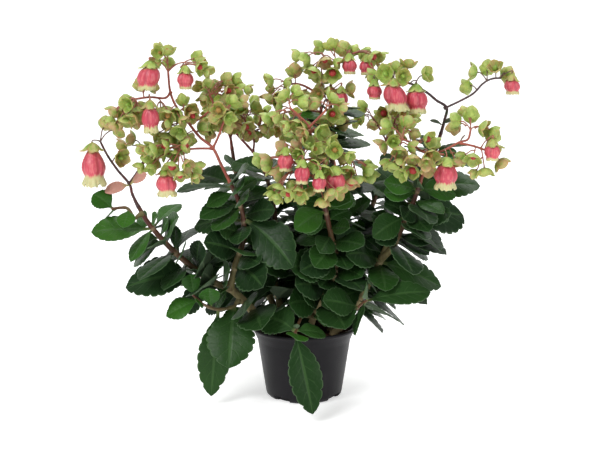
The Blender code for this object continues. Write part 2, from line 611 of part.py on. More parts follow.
# Each head: the stem it tops, its arms (the first is the stalk itself), its calyxes, and its bells as
# x, y, height of the bell's top, length and radius.
HEADS = {
    "head_far_left": {
        "stem": "cane_left",
        "arms": [[(-185, -25, 159), (-188, -23, 169), (-200, -24, 184), (-210, -26, 200), (-217, -29, 216)],
                 [(-188, -23, 169), (-180, -20, 181), (-174, -16, 192), (-172, -14, 204)]],
        "calyxes": [(-204, -20, 226), (-182, -14, 215), (-214, -22, 229), (-192, -12, 209), (-168, -10, 201),
                    (-196, -36, 199)],
        "bells": [("bell_far_left", (-224, -34, 207, 39, 12.5))],
    },
    "head_left": {
        "stem": "fork_left",
        "arms": [[(-88, -40, 192), (-96, -42, 209), (-110, -36, 220), (-121, -32, 233), (-134, -30, 250),
                  (-141, -30, 267), (-143, -30, 290)],
                 [(-96, -42, 209), (-112, -48, 209), (-127, -54, 208)],
                 [(-141, -30, 267), (-146, -36, 261), (-161, -40, 262), (-177, -42, 260)],
                 [(-96, -42, 209), (-90, -44, 221), (-84, -46, 237), (-81, -46, 247)],
                 [(-121, -32, 233), (-105, -26, 243), (-97, -20, 253), (-101, -18, 264)]],
        "calyxes": [(-143, -32, 305), (-113, -34, 297), (-170, -34, 272), (-182, -36, 260), (-196, -40, 250),
                    (-172, -52, 247), (-184, -52, 242), (-148, -34, 252), (-140, -52, 246), (-122, -40, 250),
                    (-128, -52, 230), (-142, -42, 224), (-140, -60, 214), (-128, -44, 212), (-158, -60, 200),
                    (-152, -68, 212), (-134, -72, 196), (-123, -62, 188), (-112, -34, 227), (-102, -12, 270),
                    (-88, -8, 278), (-74, -10, 270), (-88, -14, 263), (-96, -28, 240), (-78, -42, 254),
                    (-88, -50, 244)],
        "bells": [("bell_left_top", (-159, -48, 293, 24, 11.5)), ("bell_left_upper", (-124, -38, 288, 18, 8.5)),
                  ("bell_left_long", (-158, -62, 253, 27, 9)), ("bell_left_low", (-143, -66, 184, 23, 10.5))],
    },
    "head_left_mid": {
        "stem": "cane_left_mid",
        "arms": [[(-50, 32, 188), (-57, 32, 198), (-72, 30, 215), (-85, 26, 230)],
                 [(-57, 32, 198), (-56, 26, 212), (-62, 24, 226), (-66, 22, 236)]],
        "calyxes": [(-96, 22, 244), (-58, 28, 246), (-68, 16, 246), (-78, 12, 231), (-62, 16, 224), (-48, 30, 224),
                    (-84, 34, 250), (-94, 32, 232), (-72, 36, 238)],
        "bells": [],
    },
    "head_front": {
        "stem": "cane_front",
        "arms": [[(13, -52, 185), (12, -56, 198), (0, -68, 199), (-9, -78, 196)],
                 [(12, -56, 198), (7, -58, 214), (5, -60, 232), (-7, -62, 245), (-15, -62, 252)],
                 [(5, -60, 232), (14, -58, 241), (22, -54, 249)],
                 [(12, -56, 198), (22, -60, 198), (33, -60, 201), (50, -57, 198)]],
        "calyxes": [(-24, -72, 188), (-18, -66, 209), (-24, -88, 176), (-4, -100, 172), (4, -82, 172),
                    (21, -88, 193), (31, -76, 206), (44, -70, 192), (16, -66, 212), (2, -74, 212), (40, -80, 172),
                    (54, -62, 182), (64, -56, 191), (20, -98, 172), (-34, -68, 200), (-18, -62, 262),
                    (-6, -68, 238), (26, -54, 259), (14, -68, 230), (-26, -58, 246)],
        "bells": [("bell_front", (31, -84, 188, 22, 10.5)), ("bell_front_left", (-19, -84, 207, 18, 8)),
                  ("bell_front_mid", (-2, -99, 196, 18, 8)), ("bell_front_right", (15, -104, 186, 15, 7))],
    },
    "head_top": {
        "stem": "cane_right_mid",
        "arms": [[(32, 24, 284), (35, 22, 299)],
                 [(32, 24, 284), (26, 20, 298), (19, 14, 308)],
                 [(33, 23, 291), (46, 20, 304), (58, 18, 309)]],
        "calyxes": [(5, 20, 305), (32, 28, 313), (22, 8, 302), (12, 6, 292), (46, 26, 311), (64, 26, 309),
                    (80, 18, 305), (72, 8, 306), (31, 8, 288), (10, 24, 294), (84, 26, 294)],
        "bells": [("bell_top_left", (49, 8, 301, 16, 8)), ("bell_top_right", (68, 14, 300, 16, 8))],
    },
    "head_right": {
        "stem": "cane_right",
        "arms": [[(154, 9, 236), (156, 10, 249), (144, 4, 257), (132, -4, 266), (115, -12, 275), (102, -18, 277),
                  (89, -22, 278)],
                 [(156, 10, 249), (171, 14, 256), (186, 18, 264), (197, 20, 275), (206, 18, 280), (216, 16, 281)]],
        "calyxes": [(78, -12, 284), (96, -16, 288), (110, -14, 292), (102, -32, 284), (86, -32, 286),
                    (126, -16, 284), (98, -8, 270), (190, 20, 287), (209, 14, 289), (202, 26, 288),
                    (221, 24, 286), (184, 26, 272)],
        "bells": [("bell_right_big", (92, -38, 275, 28, 12)), ("bell_right_mid", (118, -27, 269, 25, 11.5)),
                  ("bell_right_small", (74, -24, 274, 15, 8)), ("bell_far_right", (227, 14, 279, 16, 8.5))],
    },
    "head_low_right": {
        "stem": "fork_right",
        "arms": [[(127, -48, 189), (132, -50, 202), (120, -54, 208), (110, -58, 216), (100, -60, 220)],
                 [(132, -50, 202), (146, -52, 208), (161, -52, 216), (170, -52, 219), (173, -50, 230)],
                 [(161, -52, 216), (176, -54, 212), (188, -56, 208)],
                 [(132, -50, 202), (138, -58, 204), (144, -62, 204)]],
        "calyxes": [(84, -58, 216), (98, -70, 212), (90, -54, 231), (92, -70, 196), (114, -64, 190),
                    (132, -60, 188), (156, -54, 199), (163, -44, 237), (181, -54, 232), (174, -42, 240),
                    (174, -66, 204), (186, -62, 190), (202, -56, 198), (194, -46, 220), (104, -56, 232),
                    (124, -64, 220), (128, -70, 206), (110, -72, 200)],
        "bells": [("bell_low_right", (146, -66, 195, 27, 12)), ("bell_low_far", (193, -66, 214, 16, 8))],
    },
    "head_centre": {
        "stem": "cane_centre",
        "arms": [[(19, 42, 243), (17, 38, 260), (6, 34, 269), (-6, 30, 274), (-20, 26, 274)],
                 [(19, 42, 243), (24, 24, 257), (31, 10, 253)],
                 [(19, 42, 243), (4, 26, 244), (-10, 14, 240)]],
        "calyxes": [(-34, 24, 279), (-24, 34, 265), (-36, 20, 262), (-10, 34, 284), (-24, 12, 250),
                    (-34, 18, 238), (-16, 0, 222), (14, 2, 222), (20, 24, 266), (38, 12, 240), (46, 20, 268),
                    (2, 38, 266), (6, 30, 252), (-4, 6, 234), (28, 16, 262), (24, -4, 240)],
        "bells": [("bell_centre", (40, 0, 266, 18, 8))],
    },
    "head_back_left": {
        "stem": "cane_back_left",
        "arms": [[(-88, 110, 210), (-92, 112, 226), (-104, 118, 240)],
                 [(-88, 110, 210), (-78, 118, 226), (-70, 124, 240)],
                 [(-88, 110, 210), (-94, 98, 224), (-92, 90, 238)]],
        "calyxes": [(-110, 126, 246), (-104, 110, 250), (-116, 116, 232), (-92, 124, 232), (-64, 128, 248),
                    (-70, 136, 232), (-58, 118, 236), (-84, 86, 246), (-98, 84, 236), (-84, 98, 232)],
        "bells": [],
    },
    "head_back_right": {
        "stem": "cane_back_right",
        "arms": [[(100, 118, 204), (104, 120, 222), (116, 124, 236)],
                 [(100, 118, 204), (90, 126, 222), (82, 132, 234)],
                 [(100, 118, 204), (106, 104, 218), (108, 96, 232)]],
        "calyxes": [(124, 130, 242), (114, 114, 246), (128, 118, 230), (104, 132, 230), (76, 138, 242),
                    (72, 126, 234), (86, 142, 228), (114, 90, 238), (100, 90, 234), (112, 102, 224)],
        "bells": [],
    },
    "head_back": {
        "stem": "cane_back",
        "arms": [[(-2, 144, 188), (-2, 146, 204), (-12, 152, 218)],
                 [(-2, 144, 188), (10, 150, 204), (20, 154, 216)],
                 [(-2, 144, 188), (2, 132, 204), (2, 122, 218)]],
        "calyxes": [(-20, 156, 224), (-10, 146, 230), (-24, 146, 212), (-4, 160, 212), (26, 158, 222),
                    (18, 144, 228), (30, 148, 208), (2, 116, 226), (-10, 124, 220), (14, 126, 214)],
        "bells": [],
    },
}


def calyx(route, axis, radius, depth):
    """Four broad lobes as a four-cornered cup at the end of its pedicel, opening along the axis."""
    stations = route + [route[-1] + axis * depth]
    radii = [PEDICEL_RADIUS] * len(route) + [radius]
    return tube(stations, radii, STALK_SIDES)


def bell(top, length, radius):
    """A ribbed flower as a turned bell with a hollow mouth; it hangs straight down."""
    profile = [
        (radius * 0.62, 0.0),
        (radius, length * 0.42),
        (radius * 0.86, length * 0.80),
        (radius * 1.0, length),
        (radius * 0.74, length * 0.94),
        (0, length * 0.72),
    ]
    return loft(turned(profile, BELL_SIDES, top, DOWN))


def head_paths(head, stem):
    """The stalk and arms of a head as stations; each arm starts on what is already there."""
    tip = stem[-1]
    direction = (stem[-1] - stem[-2]).normalized()
    routes = []
    for i, arm in enumerate(head["arms"]):
        points = [in_air(*p) for p in arm]
        if i == 0:
            start = tip + direction * GAP
            first = start + direction * (4 * MM)
            routes.append([start] + smooth_route([first] + points, STALK_STEP))
        else:
            starts = [nearest_on(route, points[0])[0] for route in routes]
            points[0] = min(starts, key=lambda spot: (spot - points[0]).length)
            routes.append(smooth_route(points, STALK_STEP))
    return routes


def pedicels(routes, apex):
    """The thin stalks that could carry a flower, from the nearest spot on an arm to the farthest."""
    spots = []
    for route in routes:
        spots += [a.lerp(b, share) for a, b in zip(route[1:], route[2:]) for share in (0.3, 0.6, 0.93)]
    spots.sort(key=lambda spot: (spot - apex).length)
    return [[spot, apex] for spot in spots[:9]]


def clear_of_bells(route):
    stem = tube(route, [PEDICEL_RADIUS + 0.4 * MM] * 2, STALK_SIDES)
    return is_clear(stem, bell_blocks)


def pedicel(routes, apex):
    """The first of the possible stalks that no bell is in the way of."""
    choices = pedicels(routes, apex)
    return next((route for route in choices if clear_of_bells(route)), choices[0])


def nod(route):
    """The way a calyx faces: on along its pedicel, and drooping."""
    reach = (route[-1] - route[0]).normalized()
    return (reach + DOWN * 0.55).normalized()


def over_the_top(route):
    """A bell's pedicel: it rises over the flower, hooks round and drops straight into it."""
    back = route[0] - route[-1]
    back.z = 0
    back = back.normalized() * HOOK_RADIUS
    middle = route[-1] + UP * HOOK_DROP + back
    turns = [math.radians(t) for t in (120, 80, 40, 0)]
    hook = [middle - back * math.cos(t) + UP * (HOOK_RADIUS * math.sin(t)) for t in turns]
    return [route[0]] + hook + [route[-1]]


def settle_calyx(apex, routes):
    """A calyx's pedicel, axis and radius: it is moved a little, or made smaller, if something is in its way."""
    shifts = [Vector(v) for v in ((0, 0, 0), (0, 0, 1), (0, 1, 0), (1, 0, 0), (0, 0, -1), (0, -1, 0), (-1, 0, 0),
                                  (1, 1, 1), (-1, -1, 1), (1, -1, -1), (-1, 1, -1))]
    for radius in (CALYX_RADIUS, CALYX_RADIUS * 0.8, CALYX_RADIUS * 0.6):
        for reach in (0, 4, 8, 12, 16):
            for shift in shifts:
                spot = apex + shift * (reach * MM)
                route = pedicel(routes, spot)
                axis = nod(route)
                corners = calyx(route, axis, radius + MM, CALYX_DEPTH + MM)[0]
                fat = loft([corners[-2 * STALK_SIDES:-STALK_SIDES], corners[-STALK_SIDES:]])
                if is_clear(fat) and clear_of_bells(route):
                    return route, axis, radius
    return route, axis, radius


# ---- Materials and objects --------------------------------------------------------------------------------

def material(name, colour, roughness):
    made = bpy.data.materials.new(name)
    made.use_nodes = True
    surface = made.node_tree.nodes["Principled BSDF"]
    surface.inputs["Base Color"].default_value = (*colour, 1.0)
    surface.inputs["Roughness"].default_value = roughness
    return made


def add_node(name, mesh, surface, crease=50):
    mesh.name = name
    mesh.materials.clear()
    mesh.materials.append(surface)
    mesh.shade_smooth()
    mesh.set_sharp_from_angle(angle=math.radians(crease))
    node = bpy.data.objects.new(name, mesh)
    bpy.context.scene.collection.objects.link(node)
    node.parent = plant
    return node


plant = bpy.data.objects.new("plant", None)
bpy.context.scene.collection.objects.link(plant)


# ---- Laying everything out ----------------------------------------------------------------------------------

paths = stem_paths()
pot_solid = pot_mesh()
note(([v.co.copy() for v in pot_solid.vertices], [tuple(p.vertices) for p in pot_solid.polygons]))
soil_shape = loft(turned([
    (0, POT_FLOOR + GAP),
    (wall_radius(POT_EDGE_RADIUS) - POT_WALL - GAP, POT_FLOOR + GAP),
    (wall_radius(POT_EDGE_RADIUS) - POT_WALL - GAP, POT_EDGE_RADIUS),
    (wall_radius(COLLAR_LOW) - POT_WALL - GAP, COLLAR_LOW),
    (SOIL_TOP_RADIUS, SOIL_TOP),
    (SOIL_TOP_RADIUS * 0.86, SOIL_TOP - SOIL_DISH),
    (0, SOIL_TOP - SOIL_DISH),
], POT_SIDES))
note(soil_shape)
for name, (stations, radii) in paths.items():
    note(tube(stations, radii, CANE_SIDES), stem=name)

collars = {}
for stem_name, (count, first, last, _, _, _, own) in LEAF_PAIRS.items():
    stations, radii = paths[stem_name]
    for number, (_, _, _, k, _) in enumerate(pair_places(stations, radii, count, first, last)):
        if number in own:
            collars[stem_name, number] = collar(stations, radii, k)
            note(collars[stem_name, number], stem=stem_name + " collar")

head_routes = {name: head_paths(head, paths[head["stem"]][0]) for name, head in HEADS.items()}
head_parts = {}
for name, routes in head_routes.items():
    shapes = []
    for i, route in enumerate(routes):
        start = STALK_RADIUS if i == 0 else ARM_RADIUS * 1.1
        shapes.append(tube(route, taper(start, ARM_RADIUS, len(route)), STALK_SIDES))
    head_parts[name] = shapes
    for shape in shapes:
        note(shape)

bells = {}
for name, head in HEADS.items():
    for bell_name, (x, y, height, length, radius) in head["bells"]:
        top = in_air(x, y, height)
        bells[bell_name] = bell(top, length * MM * RISE, radius * MM * REACH)
        note(bells[bell_name])
        note(bell(top + UP * MM, length * MM * RISE, radius * MM * REACH + MM), bell_blocks)
for name, head in HEADS.items():
    for bell_name, (x, y, height, length, radius) in head["bells"]:
        apex = in_air(x, y, height) + UP * (GAP + CALYX_DEPTH)
        cap = calyx(over_the_top(pedicel(head_routes[name], apex)), DOWN, radius * MM * REACH, CALYX_DEPTH)
        head_parts[name].append(cap)
        note(cap)

for name, head in HEADS.items():
    for spot in head["calyxes"]:
        route, axis, radius = settle_calyx(in_air(*spot), head_routes[name])
        cup = calyx(route, axis, radius, CALYX_DEPTH)
        head_parts[name].append(cup)
        note(cup)

shoot_parts = {}
twig_paths = {}
for name, shoot in SHOOTS.items():
    stem, stem_radii = paths[shoot["stem"]]
    twig = shoot_path(shoot, stem, stem_radii)
    twig_paths[name] = twig
    shoot_parts[name] = [tube(twig, taper(TWIG_RADIUS, TWIG_RADIUS * 0.7, len(twig)), 6)]
    note(shoot_parts[name][0], stem=name)
for name, shoot in SHOOTS.items():
    twig = twig_paths[name]
    for share, tip, width in shoot["leaves"]:
        base = along_route(twig, share)
        aim = shoot["where"](*tip) - base
        length = aim.length
        aim = aim.normalized() + UP * LEAF_DROOP
        skip = TWIG_RADIUS + LEAF_CLEARANCE * 2
        shape = settle_leaf(base, UP, aim, LIGHT, length, width * MM, name, skip)
        shoot_parts[name].append(shape)

pairs = []
for stem_name, (count, first, last, first_size, last_size, turn, own) in LEAF_PAIRS.items():
    stations, radii = paths[stem_name]
    for number, (middle, along, radius, _, share) in enumerate(pair_places(stations, radii, count, first, last)):
        facing = Matrix.Rotation(math.radians(turn + 90 * number), 3, along) @ along.orthogonal().normalized()
        lift = math.radians(LEAF_LIFT)
        aims = [facing * (flip * math.cos(lift)) + along * math.sin(lift) for flip in (1, -1)]
        lengths = [LEAF_LENGTH * (first_size + (last_size - first_size) * share)] * 2
        known = LEAF_AIMS.get((stem_name, number))
        if known:
            reaches = [in_air(*tip) - middle for tip in known]
            lengths = [min(reach.length, LEAF_LENGTH * 1.2) for reach in reaches]
            aims = [reach.normalized() + UP * LEAF_DROOP for reach in reaches]
        rank = 0 if known else 1 if number in own else 2
        pairs.append((rank, stem_name, number, middle, along, radius, aims, lengths, number in own))
pairs.sort(key=lambda pair: pair[0])

stem_leaves = {name: [] for name in paths}
pair_parts = {}
for _, stem_name, number, middle, along, radius, aims, lengths, own in pairs:
    away = Vector((middle.x, middle.y, 0.0)).normalized()
    hint = along * 0.3 + away * 0.6 + LIGHT * 0.7
    for aim, length in zip(aims, lengths):
        outward = (aim - along * aim.dot(along)).normalized()
        inset = radius + GAP + COLLAR_WALL * 0.55 if own else radius * 0.4
        base = middle + outward * inset
        skip = radius + COLLAR_WALL + LEAF_CLEARANCE * 2 - inset
        width = length * LEAF_WIDTH_SHARE
        shape = settle_leaf(base, along, aim, hint, length, width, stem_name, skip, own)
        if own:
            pair_parts.setdefault((stem_name, number), []).append(shape)
        else:
            stem_leaves[stem_name].append(shape)


# ---- Building the nodes ---------------------------------------------------------------------------------------

black_plastic = material("pot_plastic", (0.012, 0.012, 0.014), 0.42)
add_node("pot", pot_solid, black_plastic, 30)

sockets = []
for name in CANES:
    stations, radii = paths[name]
    below = [i for i, s in enumerate(stations) if s.z < SOIL_TOP + CANE_STEP]
    reach = stations[:len(below) + 1]
    tangent = (reach[0] - reach[1]).normalized()
    reach = [reach[0] + tangent * GAP] + reach[1:]
    sockets.append(ring_mesh(tube(reach, radii[:len(reach)], CANE_SIDES, GAP * 1.1)))
soil_solid = boolean(ring_mesh(soil_shape), sockets, "DIFFERENCE")
add_node("soil", soil_solid, material("peat", (0.035, 0.018, 0.012), 0.95), 30)

bark = material("cane_bark", (0.17, 0.13, 0.06), 0.6)
for name in CANES:
    extra = [ring_mesh(shape) for shape in stem_leaves[name]]
    for fork_name, fork in FORKS.items():
        if fork["cane"] == name:
            extra.append(ring_mesh(tube(*paths[fork_name], CANE_SIDES)))
            extra += [ring_mesh(shape) for shape in stem_leaves[fork_name]]
    add_node(name, boolean(ring_mesh(tube(*paths[name], CANE_SIDES)), extra, "UNION"), bark)

blade = material("leaf_green", (0.022, 0.085, 0.025), 0.38)
for (stem_name, number), shapes in pair_parts.items():
    ring = ring_mesh(collars[stem_name, number])
    leaves = [ring_mesh(shape) for shape in shapes]
    add_node(f"leaves_{stem_name}_{number + 1}", boolean(ring, leaves, "UNION"), blade)

for name, shapes in shoot_parts.items():
    twig = ring_mesh(shapes[0])
    add_node(name, boolean(twig, [ring_mesh(shape) for shape in shapes[1:]], "UNION"), blade)

calyx_green = material("calyx_green", (0.42, 0.55, 0.20), 0.5)
for name, shapes in head_parts.items():
    stalk = ring_mesh(shapes[0])
    add_node(name, boolean(stalk, [ring_mesh(shape) for shape in shapes[1:]], "UNION"), calyx_green)

petal_pink = material("petal_pink", (0.75, 0.12, 0.16), 0.45)
for name, shape in bells.items():
    add_node(name, ring_mesh(shape), petal_pink)
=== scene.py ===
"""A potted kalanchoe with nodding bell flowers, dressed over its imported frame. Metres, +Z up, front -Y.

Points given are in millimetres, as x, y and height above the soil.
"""

import math
import random

import bpy
from mathutils import Matrix, Vector, noise
from mathutils.bvhtree import BVHTree


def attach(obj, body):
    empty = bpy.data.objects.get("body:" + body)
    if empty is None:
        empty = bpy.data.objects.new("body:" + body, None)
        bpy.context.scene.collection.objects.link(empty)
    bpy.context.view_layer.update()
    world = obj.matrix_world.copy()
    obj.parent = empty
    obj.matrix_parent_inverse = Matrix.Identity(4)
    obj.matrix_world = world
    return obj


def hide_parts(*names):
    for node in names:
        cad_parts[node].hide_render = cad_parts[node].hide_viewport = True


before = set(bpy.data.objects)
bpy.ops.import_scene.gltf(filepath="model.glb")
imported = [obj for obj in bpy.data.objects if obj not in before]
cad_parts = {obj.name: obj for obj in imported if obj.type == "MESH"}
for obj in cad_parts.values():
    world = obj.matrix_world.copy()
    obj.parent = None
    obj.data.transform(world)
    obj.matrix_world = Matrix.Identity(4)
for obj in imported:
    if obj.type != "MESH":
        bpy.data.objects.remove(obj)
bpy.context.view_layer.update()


# ---- The pot -----------------------------------------------------------------------------------------------
# A nursery pot of thin black polypropylene, injection moulded in one piece: a flared collar with a rolled
# lip round the mouth, a rounded foot, and four drain notches where the mould's slides reached under it.

MM = 0.001
POT_SIDES = 192
DRAIN_TURNS = (-126.0, -36.0, 54.0, 144.0)
DRAIN_HALF_TURN = 13.4
DRAIN_SLOPE = 2.2
POT_FLOOR = 2.2 * MM
# Radius and height in millimetres, going up the outside, over the lip and down the inside.
POT_FOOT = [(0, 0), (34, 0), (38, 0), (40.5, 0.7), (42.3, 2.5), (43, 5), (43.1, 6)]
POT_NOTCH = [(0, 0), (34, 0), (36.2, 0.3), (36.5, 4.8), (37.2, 5.5), (40, 5.5), (43.1, 6)]
POT_WALL = [(43.6, 9), (46, 24.7), (49, 44.3), (51.7, 62), (52, 63.7), (52.2, 64.6), (53.7, 68), (55.4, 72),
            (57.2, 76.2), (57.7, 76.7), (59.3, 76.8), (59.85, 77.3), (60, 78.2), (59.9, 79.3), (59.4, 79.9),
            (58.6, 80), (57, 80), (56.2, 79.8), (55.8, 79.2), (55.4, 77), (53, 71), (50.4, 64.8), (50.1, 63.4),
            (46.6, 40), (41.9, 9)]
POT_INSIDE = [(41.4, 7.5), (41.2, 5), (40.6, 2.6), (36, 2.2), (0, 2.2)]
POT_INSIDE_NOTCH = [(41.5, 7.8), (41.2, 7.4), (40.6, 7.3), (36, 7.2), (0, 7.2)]


def joined_mesh(name, parts, crease=None):
    """One mesh of several (points, faces, marks); a mark is a number for each point, or one for them all."""
    points = []
    faces = []
    marks = {}
    for part_points, part_faces, part_marks in parts:
        first = len(points)
        points += part_points
        faces += [tuple(first + i for i in face) for face in part_faces]
        for key, values in part_marks.items():
            row = marks.setdefault(key, [0.0] * first)
            row += [0.0] * (first - len(row))
            row += values if isinstance(values, list) else [values] * len(part_points)
    mesh = bpy.data.meshes.new(name)
    mesh.from_pydata(points, [], faces)
    for key, row in marks.items():
        row += [0.0] * (len(points) - len(row))
        mesh.attributes.new(key, "FLOAT", "POINT").data.foreach_set("value", row)
    mesh.shade_smooth()
    if crease:
        mesh.set_sharp_from_angle(angle=math.radians(crease))
    return mesh


def place(name, mesh, finish, slot, *nodes):
    """Stands a finished piece in the row frame, on the plant's one body, in place of its plain nodes."""
    piece = bpy.data.objects.new(name, mesh)
    bpy.context.scene.collection.objects.link(piece)
    mesh.materials.append(finish)
    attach(piece, "root")
    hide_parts(*nodes)
    return piece


class Finish:
    """A material while it is made up: each step adds a node and hands back what comes out of it."""

    def __init__(self, name, **sockets):
        self.material = bpy.data.materials.new(name)
        self.material.use_nodes = True
        self.tree = self.material.node_tree
        self.surface = self.tree.nodes["Principled BSDF"]
        self.spot = self.tree.nodes.new("ShaderNodeTexCoord").outputs["Object"]
        self.fill(self.surface, sockets)

    def fill(self, node, sockets):
        for key, value in sockets.items():
            socket = node.inputs[int(key[1:])] if key[0] == "_" else node.inputs[key.replace("_", " ")]
            if isinstance(value, bpy.types.NodeSocket):
                self.tree.links.new(value, socket)
            elif isinstance(value, tuple) and len(value) == 3 and socket.type == "RGBA":
                socket.default_value = (*value, 1.0)
            else:
                socket.default_value = value

    def add(self, kind, out, settings=None, **sockets):
        node = self.tree.nodes.new("ShaderNode" + kind)
        for key, value in (settings or {}).items():
            setattr(node, key, value)
        self.fill(node, sockets)
        return node.outputs[out]

    def mark(self, name):
        return self.add("Attribute", "Fac", {"attribute_name": name})

    def maths(self, operation, a, b=0.0):
        return self.add("Math", 0, {"operation": operation}, _0=a, _1=b)

    def plus(self, a, b):
        return self.maths("ADD", a, b)

    def minus(self, a, b):
        return self.maths("SUBTRACT", a, b)

    def times(self, a, b):
        return self.maths("MULTIPLY", a, b)

    def span(self, value, low, high, start=0.0, end=1.0):
        return self.add("MapRange", 0, {"interpolation_type": "SMOOTHSTEP"},
                        _0=value, _1=low, _2=high, _3=start, _4=end)

    def clouds(self, scale, detail=3.0, stretch=(1.0, 1.0, 1.0)):
        spot = self.add("Mapping", 0, Vector=self.spot, Scale=stretch)
        return self.add("TexNoise", 0, Vector=spot, Scale=scale, Detail=detail)

    def blend(self, share, a, b):
        return self.add("Mix", 2, {"data_type": "RGBA"}, _0=share, _6=a, _7=b)

    def raised(self, height, distance, strength=1.0):
        made = self.add("Bump", 0, Height=height, Distance=distance, Strength=strength)
        self.fill(self.surface, {"Normal": made})

    def done(self, **sockets):
        self.fill(self.surface, sockets)
        return self.material


def ringed(rings, close=True):
    """Points and faces of a skin through rings of equal length; a ring of one point is a tip."""
    points = [point for ring in rings for point in ring]
    faces = []
    start = 0
    for lower, upper in zip(rings, rings[1:]):
        a = start
        b = start = start + len(lower)
        sides = max(len(lower), len(upper))
        for i in range(sides):
            j = (i + 1) % sides
            if len(lower) == 1:
                faces.append((a, b + j, b + i))
            elif len(upper) == 1:
                faces.append((a + i, a + j, b))
            else:
                faces.append((a + i, a + j, b + j, b + i))
    if close and len(rings[0]) > 1:
        faces.append(tuple(reversed(range(len(rings[0])))))
    if close and len(rings[-1]) > 1:
        faces.append(tuple(range(start, start + len(rings[-1]))))
    return points, faces


def smooth_step(value, low, high):
    t = max(0.0, min(1.0, (value - low) / (high - low)))
    return t * t * (3 - 2 * t)


def pot_rings():
    notch_shares = []
    for i in range(POT_SIDES):
        turn = 360.0 * i / POT_SIDES
        away = min(abs((turn - centre + 180) % 360 - 180) for centre in DRAIN_TURNS)
        notch_shares.append(1 - smooth_step(away, DRAIN_HALF_TURN - DRAIN_SLOPE, DRAIN_HALF_TURN))
    plain = POT_FOOT + POT_WALL + POT_INSIDE
    notched = POT_NOTCH + POT_WALL + POT_INSIDE_NOTCH
    rings = []
    for (r0, z0), (r1, z1) in zip(plain, notched):
        if r0 == 0:
            rings.append([Vector((0, 0, z0 * MM))])
            continue
        ring = []
        for i, share in enumerate(notch_shares):
            turn = 2 * math.pi * i / POT_SIDES
            radius, height = r0 + (r1 - r0) * share, z0 + (z1 - z0) * share
            ring.append(Vector((math.cos(turn) * radius, math.sin(turn) * radius, height)) * MM)
        rings.append(ring)
    return rings


def pot_plastic():
    finish = Finish("pot_plastic", Specular_IOR_Level=0.14)
    drift = finish.clouds(38.0, 4.0)
    run = finish.clouds(60.0, 3.0, (1.0, 1.0, 0.12))
    grain = finish.clouds(2600.0, 2.0)
    dust = finish.times(finish.span(run, 0.46, 0.74), finish.span(drift, 0.35, 0.8))
    base = finish.blend(drift, (0.0075, 0.0070, 0.0086), (0.0125, 0.0115, 0.0138))
    colour = finish.blend(finish.times(dust, 0.12), base, (0.13, 0.115, 0.115))
    scuff = finish.clouds(420.0, 2.0, (1.0, 1.0, 0.25))
    finish.raised(finish.plus(grain, finish.times(scuff, 0.6)), 0.00012, 0.35)
    return finish.done(Base_Color=colour, Roughness=finish.span(drift, 0.25, 0.75, 0.34, 0.46))


place("pot", joined_mesh("pot", [(*ringed(pot_rings()), {})], 38), pot_plastic(), "pot_plastic", "pot")


# ---- The soil ----------------------------------------------------------------------------------------------
# Brown peat potting mix, poured in and pressed down 8 mm below the lip: a lumpy surface with loose crumbs
# and short fibres lying on it, a little sunken against the wall.

SOIL_TOP = 72.0 * MM
SOIL_RADIUS = 53.2846 * MM
SOIL_SIDE = [(50.2, 64.6), (49.7, 62), (46, 40), (41.6, 9), (0, 9)]
SOIL_RINGS = 34
SOIL_SIDES = 120
CRUMBS = 620
FIBRES = 90
FIBRE_SIZE = 0.9 * MM


def soil_height(x, y):
    """The peat's surface: lumps on clods, down a little at the wall."""
    spot = Vector((x, y, 0.0))
    lumps = noise.noise(spot * 95) * 0.9 + noise.noise(spot * 260) * 0.7 + noise.noise(spot * 620) * 0.35
    edge = smooth_step(spot.length, SOIL_RADIUS * 0.9, SOIL_RADIUS)
    return SOIL_TOP + (lumps - 1.0 - edge * 0.6) * MM


def soil_parts():
    rings = [[Vector((0, 0, soil_height(0, 0)))]]
    for k in range(1, SOIL_RINGS + 1):
        radius = SOIL_RADIUS * k / SOIL_RINGS
        ring = []
        for i in range(SOIL_SIDES):
            turn = 2 * math.pi * i / SOIL_SIDES
            x, y = math.cos(turn) * radius, math.sin(turn) * radius
            ring.append(Vector((x, y, soil_height(x, y))))
        rings.append(ring)
    for radius, z in SOIL_SIDE:
        turns = [2 * math.pi * i / SOIL_SIDES for i in range(SOIL_SIDES if radius else 1)]
        rings.append([Vector((math.cos(t) * radius, math.sin(t) * radius, z)) * MM for t in turns])
    points, faces = ringed(rings)
    parts = [(points, [face[::-1] for face in faces], {"tone": 0.4})]
    draw = random.Random(5)
    for i in range(CRUMBS + FIBRES):
        turn = draw.uniform(0, 2 * math.pi)
        reach = SOIL_RADIUS * 0.97 * math.sqrt(draw.random())
        x, y = math.cos(turn) * reach, math.sin(turn) * reach
        seat = Vector((x, y, soil_height(x, y)))
        size = draw.uniform(0.5, 1.6) * MM
        shape = Vector((1, draw.uniform(0.6, 1.0), draw.uniform(0.5, 0.9)))
        if i >= CRUMBS:
            shape = Vector((draw.uniform(3, 6), 0.35, 0.3))
            size = FIBRE_SIZE
        spin = Matrix.Identity(3)
        for low, high, about in ((0, 6.3, "Z"), (-0.4, 0.4, "X"), (-0.3, 0.3, "Y")):
            spin = spin @ Matrix.Rotation(draw.uniform(low, high), 3, about)
        rings = [[Vector((0, 0, -1))]]
        for z in (-0.6, 0.05, 0.7):
            width = math.sqrt(1 - z * z)
            rings.append([Vector((math.cos(a * math.pi / 3) * width, math.sin(a * math.pi / 3) * width, z))
                          * draw.uniform(0.8, 1.1) for a in range(6)])
        rings.append([Vector((0, 0, 1))])
        points, faces = ringed(rings)
        points = [seat + spin @ Vector((p.x * shape.x, p.y * shape.y, p.z * shape.z)) * size for p in points]
        parts.append((points, faces, {"tone": draw.uniform(0.0, 1.0)}))
    return parts


